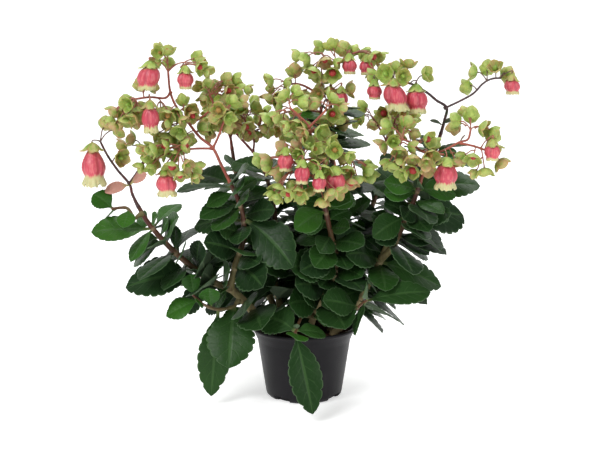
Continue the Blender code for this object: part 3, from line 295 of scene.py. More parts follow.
def peat():
    finish = Finish("peat", Specular_IOR_Level=0.25)
    fine = finish.clouds(900.0, 4.0)
    tone = finish.plus(finish.times(finish.mark("tone"), 0.6),
                        finish.times(fine, 0.5))
    colour = finish.blend(tone, (0.012, 0.006, 0.004), (0.105, 0.042, 0.024))
    finish.raised(finish.clouds(1700.0, 3.0), 0.0004, 0.8)
    return finish.done(Base_Color=colour, Roughness=finish.span(fine, 0.3, 0.7, 0.86, 0.98))


place("soil", joined_mesh("soil", soil_parts()), peat(), "peat", "soil")


# ---- The canes ---------------------------------------------------------------------------------------------
# The plant's own stems, pushed as rooted cuttings into the peat: woody, tan and ringed with old leaf scars
# below, olive further up, and dark red-brown where they are young. Each thickens a little at its leaf pairs.

CANE_STEP = 18.0 * MM
CANE_SIDES = 6
CANE_DEPTH = 22.0 * MM
# The soil is a little narrower than the one that the canes' necks were drawn in.
NECK_SHARE = SOIL_RADIUS / (53.7 * MM)
BARK_STEP = 1.6 * MM
BARK_SIDES = 18
UP = Vector((0.0, 0.0, 1.0))
DOWN = -UP
GAP = 0.3 * MM
COLLAR_WALL = 2.2 * MM
COLLAR_HEIGHT = 4.0 * MM

# Each cane: its points inside the pot's mouth, its points above, and its radii at the soil and at the tip.
CANES = {
    "cane_left": {
        "neck": [(-36, -14, 0), (-44, -19, 12)],
        "route": [(-63, -28, 38), (-80, -34, 56), (-99, -38, 65), (-123, -38, 83), (-148, -36, 106),
                  (-168, -32, 129), (-178, -28, 145)],
        "radii": (5.0, 2.4),
    },
    "cane_left_mid": {
        "neck": [(-19, 6, 0), (-23, 8, 10)],
        "route": [(-33, 16, 53), (-38, 22, 91), (-33, 26, 120), (-36, 30, 147), (-44, 32, 176)],
        "radii": (4.4, 2.2),
    },
    "cane_front": {
        "neck": [(6, -13, 0), (9, -16, 15)],
        "route": [(28, -22, 58), (35, -26, 84), (30, -30, 109), (23, -38, 141), (17, -46, 167)],
        "radii": (4.4, 2.2),
    },
    "cane_right_mid": {
        "neck": [(30, 5, 0), (37, 6, 13)],
        "route": [(56, 10, 54), (60, 14, 87), (48, 18, 118), (38, 22, 151), (32, 26, 184), (30, 28, 223),
                  (29, 26, 265)],
        "radii": (4.6, 2.1),
    },
    "cane_right": {
        "neck": [(33, -11, 0), (44, -13, 12)],
        "route": [(68, -14, 52), (85, -14, 86), (98, -12, 115), (113, -8, 141), (127, -2, 168), (141, 4, 194),
                  (150, 8, 221)],
        "radii": (4.8, 2.1),
    },
    "cane_centre": {
        "neck": [(-3, 20, 0), (-3, 23, 11)],
        "route": [(0, 38, 62), (9, 46, 119), (16, 48, 176), (19, 46, 222)],
        "radii": (4.4, 2.1),
    },
    "cane_back_left": {
        "neck": [(-27, 24, 0), (-31, 29, 11)],
        "route": [(-52, 54, 60), (-68, 78, 110), (-80, 98, 160), (-86, 108, 196)],
        "radii": (4.4, 2.2),
    },
    "cane_back_right": {
        "neck": [(23, 27, 0), (28, 32, 11)],
        "route": [(52, 60, 56), (74, 86, 106), (90, 106, 152), (98, 116, 190)],
        "radii": (4.4, 2.2),
    },
    "cane_back": {
        "neck": [(1, 38, 0), (1, 42, 11)],
        "route": [(-2, 76, 48), (-4, 108, 88), (-4, 130, 132), (-2, 142, 172)],
        "radii": (4.4, 2.2),
    },
}

# The two forks: the cane they grow on, their points from the fork up, and their radii.
FORKS = {
    "fork_left": {
        "cane": "cane_left",
        "route": [(-80, -34, 56), (-73, -38, 86), (-65, -38, 110), (-65, -38, 134), (-70, -38, 153),
                  (-79, -38, 173)],
        "radii": (3.7, 2.2),
    },
    "fork_right": {
        "cane": "cane_right",
        "route": [(85, -14, 86), (96, -22, 99), (105, -30, 122), (115, -38, 148), (122, -44, 173)],
        "radii": (3.4, 2.2),
    },
}


# Leaf pairs on each stem: how many, where the first and last sit along it, the first and last leaf's share
# of LEAF_LENGTH, the turn of the first pair, and which pairs are pieces of their own.
LEAF_PAIRS = {
    "cane_left": (7, 0.30, 0.90, 1.05, 0.70, 20, (2, 3, 6)),
    "fork_left": (5, 0.26, 0.93, 0.95, 0.62, 75, (2,)),
    "cane_left_mid": (8, 0.21, 0.93, 1.05, 0.66, 40, (4,)),
    "cane_front": (8, 0.21, 0.93, 1.05, 0.66, 0, (3,)),
    "cane_right_mid": (10, 0.19, 0.94, 1.05, 0.62, 55, (4, 6)),
    "cane_right": (8, 0.27, 0.93, 1.05, 0.66, 10, (3, 4, 5)),
    "fork_right": (4, 0.30, 0.92, 0.90, 0.66, 60, (1,)),
    "cane_centre": (9, 0.20, 0.93, 1.05, 0.62, 30, (5,)),
    "cane_back_left": (8, 0.22, 0.92, 1.05, 0.66, 15, (4,)),
    "cane_back_right": (8, 0.24, 0.92, 1.05, 0.66, 70, (4,)),
    "cane_back": (8, 0.22, 0.92, 1.05, 0.66, 45, (4,)),
}


def at(x, y, height):
    return Vector((x * MM, y * MM, SOIL_TOP + height * MM))


def smooth_route(points, step):
    """Points at equal spacing on a smooth curve through the given points."""
    padded = [points[0] * 2 - points[1]] + list(points) + [points[-1] * 2 - points[-2]]
    fine = []
    parts = 10
    for a, b, c, d in zip(padded, padded[1:], padded[2:], padded[3:]):
        for i in range(parts):
            t = i / parts
            fine.append(0.5 * (2 * b + (c - a) * t + (2 * a - 5 * b + 4 * c - d) * t * t
                               + (3 * b - a - 3 * c + d) * t ** 3))
    fine.append(points[-1])
    lengths = [(q - p).length for p, q in zip(fine, fine[1:])]
    total = sum(lengths)
    count = max(1, round(total / step))
    stations = [fine[0]]
    walked = 0.0
    for p, q, length in zip(fine, fine[1:], lengths):
        while len(stations) < count and walked + length >= total * len(stations) / count:
            share = (total * len(stations) / count - walked) / length
            stations.append(p.lerp(q, share))
        walked += length
    stations.append(fine[-1])
    return stations


def frames(stations):
    """The direction and a side direction at each station, carried along without twisting."""
    tangents = []
    for i in range(len(stations)):
        before = stations[max(i - 1, 0)]
        after = stations[min(i + 1, len(stations) - 1)]
        tangents.append((after - before).normalized())
    sides = [Vector((1.0, 0.0, 0.0)).cross(tangents[0]).cross(tangents[0]).normalized()]
    for before, after in zip(tangents, tangents[1:]):
        sides.append((before.rotation_difference(after) @ sides[-1]).normalized())
    return tangents, sides


def circle(centre, side, other, radius, count):
    turns = [2 * math.pi * i / count for i in range(count)]
    return [centre + (side * math.cos(t) + other * math.sin(t)) * radius for t in turns]


def tube(stations, radii, count):
    """Points and faces of a round stem through its stations."""
    rings = [circle(station, side, tangent.cross(side), radius, count)
             for station, tangent, side, radius in zip(stations, *frames(stations), radii)]
    return ringed(rings)


def taper(start, end, count):
    return [start + (end - start) * i / (count - 1) for i in range(count)]


def part_way(stations, share):
    """The point a share of the way along the stations, and the number of the stretch that it is on."""
    place_on = share * (len(stations) - 1)
    k = min(int(place_on), len(stations) - 2)
    return stations[k].lerp(stations[k + 1], place_on - k), k


def nearest_on(stations, point):
    """The nearest point of a route, the direction there and how far along it lies, from 0 to 1."""
    best = None
    for i, (a, b) in enumerate(zip(stations, stations[1:])):
        share = max(0.0, min(1.0, (point - a).dot(b - a) / (b - a).length_squared))
        spot = a.lerp(b, share)
        distance = (spot - point).length
        if best is None or distance < best[0]:
            best = (distance, spot, (b - a).normalized(), (i + share) / (len(stations) - 1))
    return best[1:]


def pair_places(stations, radii, count, first, last):
    """Where a stem's leaf pairs sit: middle, direction, radius, number of the stretch, share of the way."""
    spans = len(stations) - 1
    for i in range(count):
        share = first + (last - first) * i / (count - 1)
        k = min(int(share * spans), spans - 1)
        middle = stations[k].lerp(stations[k + 1], 0.5)
        direction = (stations[k + 1] - stations[k]).normalized()
        yield middle, direction, (radii[k] + radii[k + 1]) / 2, k, i / (count - 1)


def collar(stations, radii, k):
    """The room that a leaf pair's joined bases take round their stem."""
    tangents, sides = frames(stations)
    direction = (stations[k + 1] - stations[k]).normalized()
    side = (sides[k] - direction * sides[k].dot(direction)).normalized()
    other = direction.cross(side)
    middle = stations[k].lerp(stations[k + 1], 0.5)
    radius = max(radii[k], radii[k + 1]) + GAP
    rings = []
    for outer, end in [(0, -1), (1, -1), (1, 1), (0, 1), (0, -1)]:
        centre = middle + direction * (end * COLLAR_HEIGHT / 2)
        rings.append(circle(centre, side, other, radius + outer * COLLAR_WALL, CANE_SIDES))
    return ringed(rings, close=False)


# What is in place, for the pieces that have to grow clear of it.
placed = []
bell_rooms = []


def corners_of(points):
    return [Vector([pick(p[k] for p in points) for k in range(3)]) for pick in (min, max)]


def note(shape, kept=placed, stem=None):
    kept.append((*corners_of(shape[0]), BVHTree.FromPolygons(*shape), stem))


def is_clear(shape, kept=placed, own=()):
    """Whether a shape touches nothing that is kept, apart from its own, and stays above the pot's floor."""
    low, high = corners_of(shape[0])
    if low.z < POT_FLOOR:
        return False
    tree = None
    for other_low, other_high, other, stem in kept:
        if stem in own or any(high[k] < other_low[k] or low[k] > other_high[k] for k in range(3)):
            continue
        tree = tree or BVHTree.FromPolygons(*shape)
        if tree.overlap(other):
            return False
    return True


for name in ("pot", "soil"):
    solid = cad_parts[name].data
    note(([v.co.copy() for v in solid.vertices], [tuple(p.vertices) for p in solid.polygons]))

paths = {}
drawn = {}
for name, cane in CANES.items():
    neck = [at(x * NECK_SHARE, y * NECK_SHARE, height) for x, y, height in cane["neck"]]
    drawn[name] = [neck[0] + DOWN * CANE_DEPTH] + neck + [at(*p) for p in cane["route"]]
    stations = smooth_route(drawn[name], CANE_STEP)
    paths[name] = (stations, taper(cane["radii"][0] * MM, cane["radii"][1] * MM, len(stations)))
for name, fork in FORKS.items():
    drawn[name] = [at(*p) for p in fork["route"]]
    stations = smooth_route(drawn[name], CANE_STEP)
    stations[0] = drawn[name][0] = nearest_on(paths[fork["cane"]][0], stations[0])[0]
    paths[name] = (stations, taper(fork["radii"][0] * MM, fork["radii"][1] * MM, len(stations)))
for name, (stations, radii) in paths.items():
    note(tube(stations, radii, CANE_SIDES), stem=name)
for name, (count, first, last, _, _, _, own) in LEAF_PAIRS.items():
    stations, radii = paths[name]
    for number, (_, _, _, k, _) in enumerate(pair_places(stations, radii, count, first, last)):
        if number in own:
            note(collar(stations, radii, k), stem=name + " collar")


def cane_part(name):
    """A cane with its swollen leaf joints, scar rings and lumps, and how old it is at each point."""
    stations, radii = paths[name]
    count, first, last = LEAF_PAIRS[name][:3]
    joints = [middle for middle, *_ in pair_places(stations, radii, count, first, last)]
    fine = smooth_route(drawn[name], BARK_STEP)
    rings = []
    age = []
    scars = []
    oldest = 1.0 if name in CANES else 0.62
    for i, (spot, tangent, side) in enumerate(zip(fine, *frames(fine))):
        share = i / (len(fine) - 1)
        radius = radii[0] + (radii[-1] - radii[0]) * share
        if name in FORKS:
            radius *= 1 + 0.35 * math.exp(-share * len(fine) / 5)
        scar = 0.0
        for joint in joints:
            off = (spot - joint).dot(tangent) / MM
            if abs(off) < 14:
                swelling = 0.42 * math.exp(-(off / 2.6) ** 2) - 0.16 * math.exp(-((off + 4.2) / 0.9) ** 2)
                radius += swelling * MM
                scar = max(scar, math.exp(-((off + 2.6) / 1.4) ** 2))
        if share > 0.5:
            radius *= 1 - 0.06 * smooth_step(share, 0.9, 1.0)
        other = tangent.cross(side)
        ring = []
        for way in circle(Vector(), side, other, 1.0, BARK_SIDES):
            lump = noise.noise((spot + way * radius) * 210) * 0.22 + noise.noise(spot * 70) * 0.18
            ring.append(spot + way * (radius + lump * MM * (0.5 + 0.6 * (1 - share))))
        rings.append(ring)
        age += [oldest * (1 - share)] * BARK_SIDES
        scars += [scar] * BARK_SIDES
    return *ringed(rings), {"age": age, "scar": scars}


def cane_bark():
    finish = Finish("cane_bark", Specular_IOR_Level=0.35)
    age = finish.mark("age")
    patch = finish.clouds(75.0, 4.0)
    streak = finish.clouds(240.0, 4.0, (1.0, 1.0, 0.22))
    worn = finish.plus(age, finish.times(finish.minus(patch, 0.5), 0.45))
    young = finish.blend(finish.span(worn, 0.02, 0.30), (0.085, 0.024, 0.018), (0.125, 0.058, 0.028))
    green = finish.blend(finish.span(worn, 0.26, 0.55), young, (0.150, 0.130, 0.050))
    woody = finish.blend(finish.span(worn, 0.50, 0.92), green, (0.300, 0.235, 0.120))
    flecks = finish.times(finish.span(streak, 0.50, 0.72), 0.55)
    barky = finish.blend(flecks, woody, (0.085, 0.048, 0.026))
    scarred = finish.blend(finish.times(finish.mark("scar"), 0.55), barky, (0.42, 0.33, 0.19))
    finish.raised(finish.plus(streak, finish.times(finish.clouds(900.0, 2.0), 0.4)), 0.0006, 0.6)
    return finish.done(Base_Color=scarred, Roughness=finish.span(worn, 0.1, 0.9, 0.42, 0.78))


bark = cane_bark()
for name in CANES:
    parts = [cane_part(name)]
    parts += [cane_part(fork_name) for fork_name, fork in FORKS.items() if fork["cane"] == name]
    place(name, joined_mesh(name, parts), bark, "cane", name)


# ---- The flower stalks -------------------------------------------------------------------------------------
# Each cane ends in a loose, forking head. Its stalk and arms are thin, tough and smooth, dark purple-brown
# or wine red, a little swollen where they fork and where the flowers' own thin stalks come off.

STALK_STEP = 16.0 * MM
STALK_SIDES = 4
ARM_STEP = 1.8 * MM
STALK_RADIUS = 1.7 * MM
ARM_RADIUS = 1.1 * MM
STALK_TONES = {"head_far_left": 0.9, "head_left": 0.15, "head_left_mid": 0.5, "head_front": 0.12,
               "head_top": 0.3, "head_right": 1.0, "head_low_right": 0.0, "head_centre": 0.3,
               "head_back_left": 0.6, "head_back_right": 0.6, "head_back": 0.6}

# Each head: the stem it tops, its arms (the first is the stalk itself), its calyxes, and its bells as
# x, y, height of the bell's top, length and radius.
HEADS = {
    "head_far_left": {
        "stem": "cane_left",
        "arms": [[(-185, -25, 159), (-188, -23, 169), (-200, -24, 184), (-210, -26, 200), (-217, -29, 216)],
                 [(-188, -23, 169), (-180, -20, 181), (-174, -16, 192), (-172, -14, 204)]],
        "calyxes": [(-204, -20, 226), (-182, -14, 215), (-214, -22, 229), (-192, -12, 209), (-168, -10, 201),
                    (-196, -36, 199)],
        "bells": [("bell_far_left", (-224, -34, 207, 39, 12.5))],
    },
    "head_left": {
        "stem": "fork_left",
        "arms": [[(-88, -40, 192), (-96, -42, 209), (-110, -36, 220), (-121, -32, 233), (-134, -30, 250),
                  (-141, -30, 267), (-143, -30, 290)],
                 [(-96, -42, 209), (-112, -48, 209), (-127, -54, 208)],
                 [(-141, -30, 267), (-146, -36, 261), (-161, -40, 262), (-177, -42, 260)],
                 [(-96, -42, 209), (-90, -44, 221), (-84, -46, 237), (-81, -46, 247)],
                 [(-121, -32, 233), (-105, -26, 243), (-97, -20, 253), (-101, -18, 264)]],
        "calyxes": [(-143, -32, 305), (-113, -34, 297), (-170, -34, 272), (-182, -36, 260), (-196, -40, 250),
                    (-172, -52, 247), (-184, -52, 242), (-148, -34, 252), (-140, -52, 246), (-122, -40, 250),
                    (-128, -52, 230), (-142, -42, 224), (-140, -60, 214), (-128, -44, 212), (-158, -60, 200),
                    (-152, -68, 212), (-134, -72, 196), (-123, -62, 188), (-112, -34, 227), (-102, -12, 270),
                    (-88, -8, 278), (-74, -10, 270), (-88, -14, 263), (-96, -28, 240), (-78, -42, 254),
                    (-88, -50, 244)],
        "bells": [("bell_left_top", (-159, -48, 293, 24, 11.5)),
                  ("bell_left_upper", (-124, -38, 288, 18, 8.5)),
                  ("bell_left_long", (-158, -62, 253, 27, 9)),
                  ("bell_left_low", (-143, -66, 184, 23, 10.5))],
    },
    "head_left_mid": {
        "stem": "cane_left_mid",
        "arms": [[(-50, 32, 188), (-57, 32, 198), (-72, 30, 215), (-85, 26, 230)],
                 [(-57, 32, 198), (-56, 26, 212), (-62, 24, 226), (-66, 22, 236)]],
        "calyxes": [(-96, 22, 244), (-58, 28, 246), (-68, 16, 246), (-78, 12, 231), (-62, 16, 224),
                    (-48, 30, 224), (-84, 34, 250), (-94, 32, 232), (-72, 36, 238)],
        "bells": [],
    },
    "head_front": {
        "stem": "cane_front",
        "arms": [[(13, -52, 185), (12, -56, 198), (0, -68, 199), (-9, -78, 196)],
                 [(12, -56, 198), (7, -58, 214), (5, -60, 232), (-7, -62, 245), (-15, -62, 252)],
                 [(5, -60, 232), (14, -58, 241), (22, -54, 249)],
                 [(12, -56, 198), (22, -60, 198), (33, -60, 201), (50, -57, 198)]],
        "calyxes": [(-24, -72, 188), (-18, -66, 209), (-24, -88, 176), (-4, -100, 172), (4, -82, 172),
                    (21, -88, 193), (31, -76, 206), (44, -70, 192), (16, -66, 212), (2, -74, 212),
                    (40, -80, 172), (54, -62, 182), (64, -56, 191), (20, -98, 172), (-34, -68, 200),
                    (-18, -62, 262),
                    (-6, -68, 238), (26, -54, 259), (14, -68, 230), (-26, -58, 246)],
        "bells": [("bell_front", (31, -84, 188, 22, 10.5)), ("bell_front_left", (-19, -84, 207, 18, 8)),
                  ("bell_front_mid", (-2, -99, 196, 18, 8)), ("bell_front_right", (15, -104, 186, 15, 7))],
    },
    "head_top": {
        "stem": "cane_right_mid",
        "arms": [[(32, 24, 284), (35, 22, 299)],
                 [(32, 24, 284), (26, 20, 298), (19, 14, 308)],
                 [(33, 23, 291), (46, 20, 304), (58, 18, 309)]],
        "calyxes": [(5, 20, 305), (32, 28, 313), (22, 8, 302), (12, 6, 292), (46, 26, 311), (64, 26, 309),
                    (80, 18, 305), (72, 8, 306), (31, 8, 288), (10, 24, 294), (84, 26, 294)],
        "bells": [("bell_top_left", (49, 8, 301, 16, 8)), ("bell_top_right", (68, 14, 300, 16, 8))],
    },
    "head_right": {
        "stem": "cane_right",
        "arms": [[(154, 9, 236), (156, 10, 249), (144, 4, 257), (132, -4, 266), (115, -12, 275),
                  (102, -18, 277), (89, -22, 278)],
                 [(156, 10, 249), (171, 14, 256), (186, 18, 264), (197, 20, 275), (206, 18, 280),
                  (216, 16, 281)]],
        "calyxes": [(78, -12, 284), (96, -16, 288), (110, -14, 292), (102, -32, 284), (86, -32, 286),
                    (126, -16, 284), (98, -8, 270), (190, 20, 287), (209, 14, 289), (202, 26, 288),
                    (221, 24, 286), (184, 26, 272)],
        "bells": [("bell_right_big", (92, -38, 275, 28, 12)), ("bell_right_mid", (118, -27, 269, 25, 11.5)),
                  ("bell_right_small", (74, -24, 274, 15, 8)), ("bell_far_right", (227, 14, 279, 16, 8.5))],
    },
    "head_low_right": {
        "stem": "fork_right",
        "arms": [[(127, -48, 189), (132, -50, 202), (120, -54, 208), (110, -58, 216), (100, -60, 220)],
                 [(132, -50, 202), (146, -52, 208), (161, -52, 216), (170, -52, 219), (173, -50, 230)],
                 [(161, -52, 216), (176, -54, 212), (188, -56, 208)],
                 [(132, -50, 202), (138, -58, 204), (144, -62, 204)]],
        "calyxes": [(84, -58, 216), (98, -70, 212), (90, -54, 231), (92, -70, 196), (114, -64, 190),
                    (132, -60, 188), (156, -54, 199), (163, -44, 237), (181, -54, 232), (174, -42, 240),
                    (174, -66, 204), (186, -62, 190), (202, -56, 198), (194, -46, 220), (104, -56, 232),
                    (124, -64, 220), (128, -70, 206), (110, -72, 200)],
        "bells": [("bell_low_right", (146, -66, 195, 27, 12)), ("bell_low_far", (193, -66, 214, 16, 8))],
    },
    "head_centre": {
        "stem": "cane_centre",
        "arms": [[(19, 42, 243), (17, 38, 260), (6, 34, 269), (-6, 30, 274), (-20, 26, 274)],
                 [(19, 42, 243), (24, 24, 257), (31, 10, 253)],
                 [(19, 42, 243), (4, 26, 244), (-10, 14, 240)]],
        "calyxes": [(-34, 24, 279), (-24, 34, 265), (-36, 20, 262), (-10, 34, 284), (-24, 12, 250),
                    (-34, 18, 238), (-16, 0, 222), (14, 2, 222), (20, 24, 266), (38, 12, 240), (46, 20, 268),
                    (2, 38, 266), (6, 30, 252), (-4, 6, 234), (28, 16, 262), (24, -4, 240)],
        "bells": [("bell_centre", (40, 0, 266, 18, 8))],
    },
    "head_back_left": {
        "stem": "cane_back_left",
        "arms": [[(-88, 110, 210), (-92, 112, 226), (-104, 118, 240)],
                 [(-88, 110, 210), (-78, 118, 226), (-70, 124, 240)],
                 [(-88, 110, 210), (-94, 98, 224), (-92, 90, 238)]],
        "calyxes": [(-110, 126, 246), (-104, 110, 250), (-116, 116, 232), (-92, 124, 232), (-64, 128, 248),
                    (-70, 136, 232), (-58, 118, 236), (-84, 86, 246), (-98, 84, 236), (-84, 98, 232)],
        "bells": [],
    },
    "head_back_right": {
        "stem": "cane_back_right",
        "arms": [[(100, 118, 204), (104, 120, 222), (116, 124, 236)],
                 [(100, 118, 204), (90, 126, 222), (82, 132, 234)],
                 [(100, 118, 204), (106, 104, 218), (108, 96, 232)]],
        "calyxes": [(124, 130, 242), (114, 114, 246), (128, 118, 230), (104, 132, 230), (76, 138, 242),
                    (72, 126, 234), (86, 142, 228), (114, 90, 238), (100, 90, 234), (112, 102, 224)],
        "bells": [],
    },
    "head_back": {
        "stem": "cane_back",
        "arms": [[(-2, 144, 188), (-2, 146, 204), (-12, 152, 218)],
                 [(-2, 144, 188), (10, 150, 204), (20, 154, 216)],
                 [(-2, 144, 188), (2, 132, 204), (2, 122, 218)]],
        "calyxes": [(-20, 156, 224), (-10, 146, 230), (-24, 146, 212), (-4, 160, 212), (26, 158, 222),
                    (18, 144, 228), (30, 148, 208), (2, 116, 226), (-10, 124, 220), (14, 126, 214)],
        "bells": [],
    },
}


def head_paths(head, stem):
    """The stalk and arms of a head as stations; each arm starts on what is already there."""
    tip = stem[-1]
    direction = (stem[-1] - stem[-2]).normalized()
    routes = []
    for i, arm in enumerate(head["arms"]):
        points = [at(*p) for p in arm]
        if i == 0:
            start = tip + direction * GAP
            first = start + direction * (4 * MM)
            routes.append([start] + smooth_route([first] + points, STALK_STEP))
        else:
            starts = [nearest_on(route, points[0])[0] for route in routes]
            points[0] = min(starts, key=lambda spot: (spot - points[0]).length)
            routes.append(smooth_route(points, STALK_STEP))
    return routes


head_routes = {name: head_paths(head, paths[head["stem"]][0]) for name, head in HEADS.items()}
for name, routes in head_routes.items():
    for i, route in enumerate(routes):
        start = STALK_RADIUS if i == 0 else ARM_RADIUS * 1.1
        note(tube(route, taper(start, ARM_RADIUS, len(route)), STALK_SIDES))


def stem_part(fine, radius_at, tone, sides=10, shade=0.0):
    """A smooth thin stem; radius_at gives its radius from how far along it is."""
    radii = [radius_at(i / (len(fine) - 1)) for i in range(len(fine))]
    points, faces = tube(fine, radii, sides)
    return points, faces, {"tone": tone, "pale": shade}


def arm_parts(name):
    """A head's arms, each thick at its start, with a knuckle where it leaves the one before."""
    head = HEADS[name]
    stem, stem_radii = paths[head["stem"]]
    parts = []
    for i, route in enumerate(head_routes[name]):
        knots = [at(*p) for p in head["arms"][i]]
        if i == 0:
            way = (stem[-1] - stem[-2]).normalized()
            knots = [stem[-1] - way * 1.5 * MM, stem[-1] + way * 4.3 * MM] + knots
            start, settle = stem_radii[-1], 7.0
        else:
            knots[0] = route[0]
            start, settle = ARM_RADIUS * 1.9, 2.2
        fine = smooth_route(knots, ARM_STEP)
        length = ARM_STEP / MM * (len(fine) - 1)
        slim = STALK_RADIUS if i == 0 else ARM_RADIUS * 1.1

        def radius_at(share, start=start, settle=settle, length=length, slim=slim):
            body = slim + (ARM_RADIUS - slim) * share
            knuckle = max(0.0, start - slim) * math.exp(-(share * length / settle) ** 1.6)
            ripple = 0.04 * math.sin(share * length * 0.9)
            return (body + knuckle) * (1 + ripple)

        parts.append(stem_part(fine, radius_at, STALK_TONES[name]))
    return parts


def stalk_skin():
    finish = Finish("flower_stalk", Specular_IOR_Level=0.45)
    tone = finish.mark("tone")
    patch = finish.clouds(130.0, 3.0)
    mixed = finish.plus(tone, finish.times(finish.minus(patch, 0.5), 0.7))
    red = finish.blend(finish.span(mixed, 0.0, 0.55), (0.420, 0.105, 0.070), (0.210, 0.042, 0.034))
    dark = finish.blend(finish.span(mixed, 0.5, 1.0), red, (0.052, 0.022, 0.024))
    thin = finish.blend(finish.mark("pale"), dark, (0.300, 0.190, 0.110))
    finish.raised(finish.clouds(700.0, 3.0, (1.0, 1.0, 0.3)), 0.0003, 0.5)
    return finish.done(Base_Color=thin, Roughness=finish.span(patch, 0.3, 0.7, 0.34, 0.5))


stalk = stalk_skin()
stalk_parts = {name: arm_parts(name) for name in HEADS}


# ---- The bells ---------------------------------------------------------------------------------------------
# Each open flower is four petals grown into one hanging, ribbed bell: coral pink and blown out above, drawn
# in at a waist, and opening to a ruffled cream skirt. It is thin, hollow, waxy tissue hung by its stalk.

CALYX_DEPTH = 6.5 * MM
PEDICEL_RADIUS = 0.7 * MM
BELL_SIDES = 64
# How far down the flower, and its radius there, as shares of its length and of its greatest radius.
BELL_OUTSIDE = [(-0.20, 0.12), (-0.12, 0.22), (0.0, 0.40), (0.03, 0.54), (0.09, 0.70), (0.17, 0.83),
                (0.27, 0.93), (0.38, 0.985), (0.48, 1.0), (0.57, 0.96), (0.64, 0.88), (0.69, 0.82),
                (0.73, 0.80), (0.78, 0.84), (0.84, 0.90), (0.90, 0.96), (0.95, 0.985), (0.985, 0.97),
                (1.0, 0.94)]
BELL_INSIDE = [(0.985, 0.90), (0.94, 0.87), (0.86, 0.80), (0.78, 0.72), (0.72, 0.68), (0.62, 0.74),
               (0.48, 0.84), (0.34, 0.80), (0.22, 0.60), (0.16, 0.0)]
# How each bell differs from the plain one: how narrow its shoulders are, how far its skirt opens, how far
# cream runs up it, and how far it leans to the right and to the back.
PLAIN_BELL = (0.02, 0.35, 0.05, 0.0, 0.0)
BELL_LOOKS = {
    "bell_far_left": (0.26, 1.0, 0.05, 0.0, 0.0), "bell_left_top": (-0.04, 0.40, 0.10, -0.14, 0.0),
    "bell_left_upper": (0.04, 0.15, 0.0, 0.05, 0.0), "bell_left_long": (0.10, 0.55, 0.45, 0.0, 0.0),
    "bell_left_low": (0.12, 1.0, 0.08, 0.04, 0.0), "bell_front": (0.0, 0.45, 0.25, 0.0, 0.0),
    "bell_right_big": (0.06, 1.0, 0.10, 0.22, 0.0), "bell_right_mid": (-0.04, 0.55, 0.05, 0.06, 0.0),
    "bell_right_small": (0.0, 0.15, 0.0, 0.05, 0.0), "bell_low_right": (0.08, 0.85, 0.15, 0.0, 0.0),
    "bell_far_right": (0.0, 0.55, 0.10, 0.08, 0.0),
}


def bell_room(top, length, radius):
    """The plain solid that a bell takes up, hanging straight down."""
    profile = [(radius * 0.62, 0.0), (radius, length * 0.42), (radius * 0.86, length * 0.80),
               (radius, length), (radius * 0.74, length * 0.94), (0, length * 0.72)]
    side = Vector((1.0, 0.0, 0.0))
    other = DOWN.cross(side).normalized()
    return ringed([circle(top + DOWN * along, side, other, reach, 8 if reach else 1)
                   for reach, along in profile])


bells = {}
for name, head in HEADS.items():
    for bell_name, (x, y, height, length, radius) in head["bells"]:
        top = at(x, y, height)
        bells[bell_name] = (name, top, length * MM, radius * MM)
        note(bell_room(top, length * MM, radius * MM))
        note(bell_room(top + UP * MM, length * MM, (radius + 1) * MM), bell_rooms)


def bell_part(top, length, radius, look, draw):
    """One bell: four petals with grooves between them, a rib down each, and a skirt in ruffled lobes."""
    narrow, opened, cream, lean_right, lean_back = look
    turn_first = draw.uniform(0, math.pi / 2)
    ruffle = draw.uniform(0, 6.28)
    lean = lean_right + draw.uniform(-0.05, 0.05), lean_back + draw.uniform(-0.05, 0.05)
    rings = []
    marks = {"along": [], "rib": [], "inner": []}
    for layer, profile in enumerate((BELL_OUTSIDE, BELL_INSIDE)):
        for along, reach in profile:
            sides = BELL_SIDES if reach else 1
            skirt = smooth_step(along, 0.70, 0.98) * (0.35 + 0.65 * opened)
            reach *= 1 - narrow * (1 - smooth_step(along, 0.0, 0.52))
            reach *= 1 - (1 - opened) * 0.32 * smooth_step(along, 0.64, 1.0)
            ring = []
            for i in range(sides):
                turn = 2 * math.pi * i / sides
                petal = abs(math.cos(2 * (turn - turn_first)))
                groove = math.exp(-((petal / 0.30) ** 2))
                rib = abs(math.cos(4 * (turn - turn_first) + math.pi / 2)) ** 3
                nerve = 0.5 + 0.5 * math.cos(16 * (turn - turn_first))
                blown = smooth_step(along, 0.02, 0.25) * (1 - smooth_step(along, 0.62, 0.76))
                wave = math.sin(12 * turn + ruffle) * 0.6 + math.sin(19 * turn + ruffle * 2.3) * 0.4
                size = reach * (1 - 0.085 * groove * blown + 0.018 * rib * blown + 0.010 * nerve * blown)
                size *= 1 + skirt * (0.095 * wave - 0.11 * groove - 0.01)
                fall = along - skirt * (0.10 * groove * smooth_step(along, 0.8, 1.0) + 0.035 * wave)
                spot = Vector((math.cos(turn), math.sin(turn), 0.0)) * (size * radius)
                ring.append(top + spot + Vector((*lean, -1.0)) * (fall * length))
                late = (1 - opened) * 0.16 * smooth_step(along, 0.4, 0.8)
                marks["along"].append(along - late + 0.03 * wave * skirt + 0.035 * (1 - petal) - 0.02)
                # The rib mark is high in the grooves between the petals and in the furrows between their fine
                # nerves; the petal skin paints shade there.
                marks["rib"].append(0.62 * groove + 0.38 * (1 - nerve) * 0.8)
                marks["inner"].append(float(layer))
            rings.append(ring)
    points, faces = ringed(rings)
    marks["tone"] = draw.random()
    marks["cream"] = cream
    return points, [face[::-1] for face in faces], marks


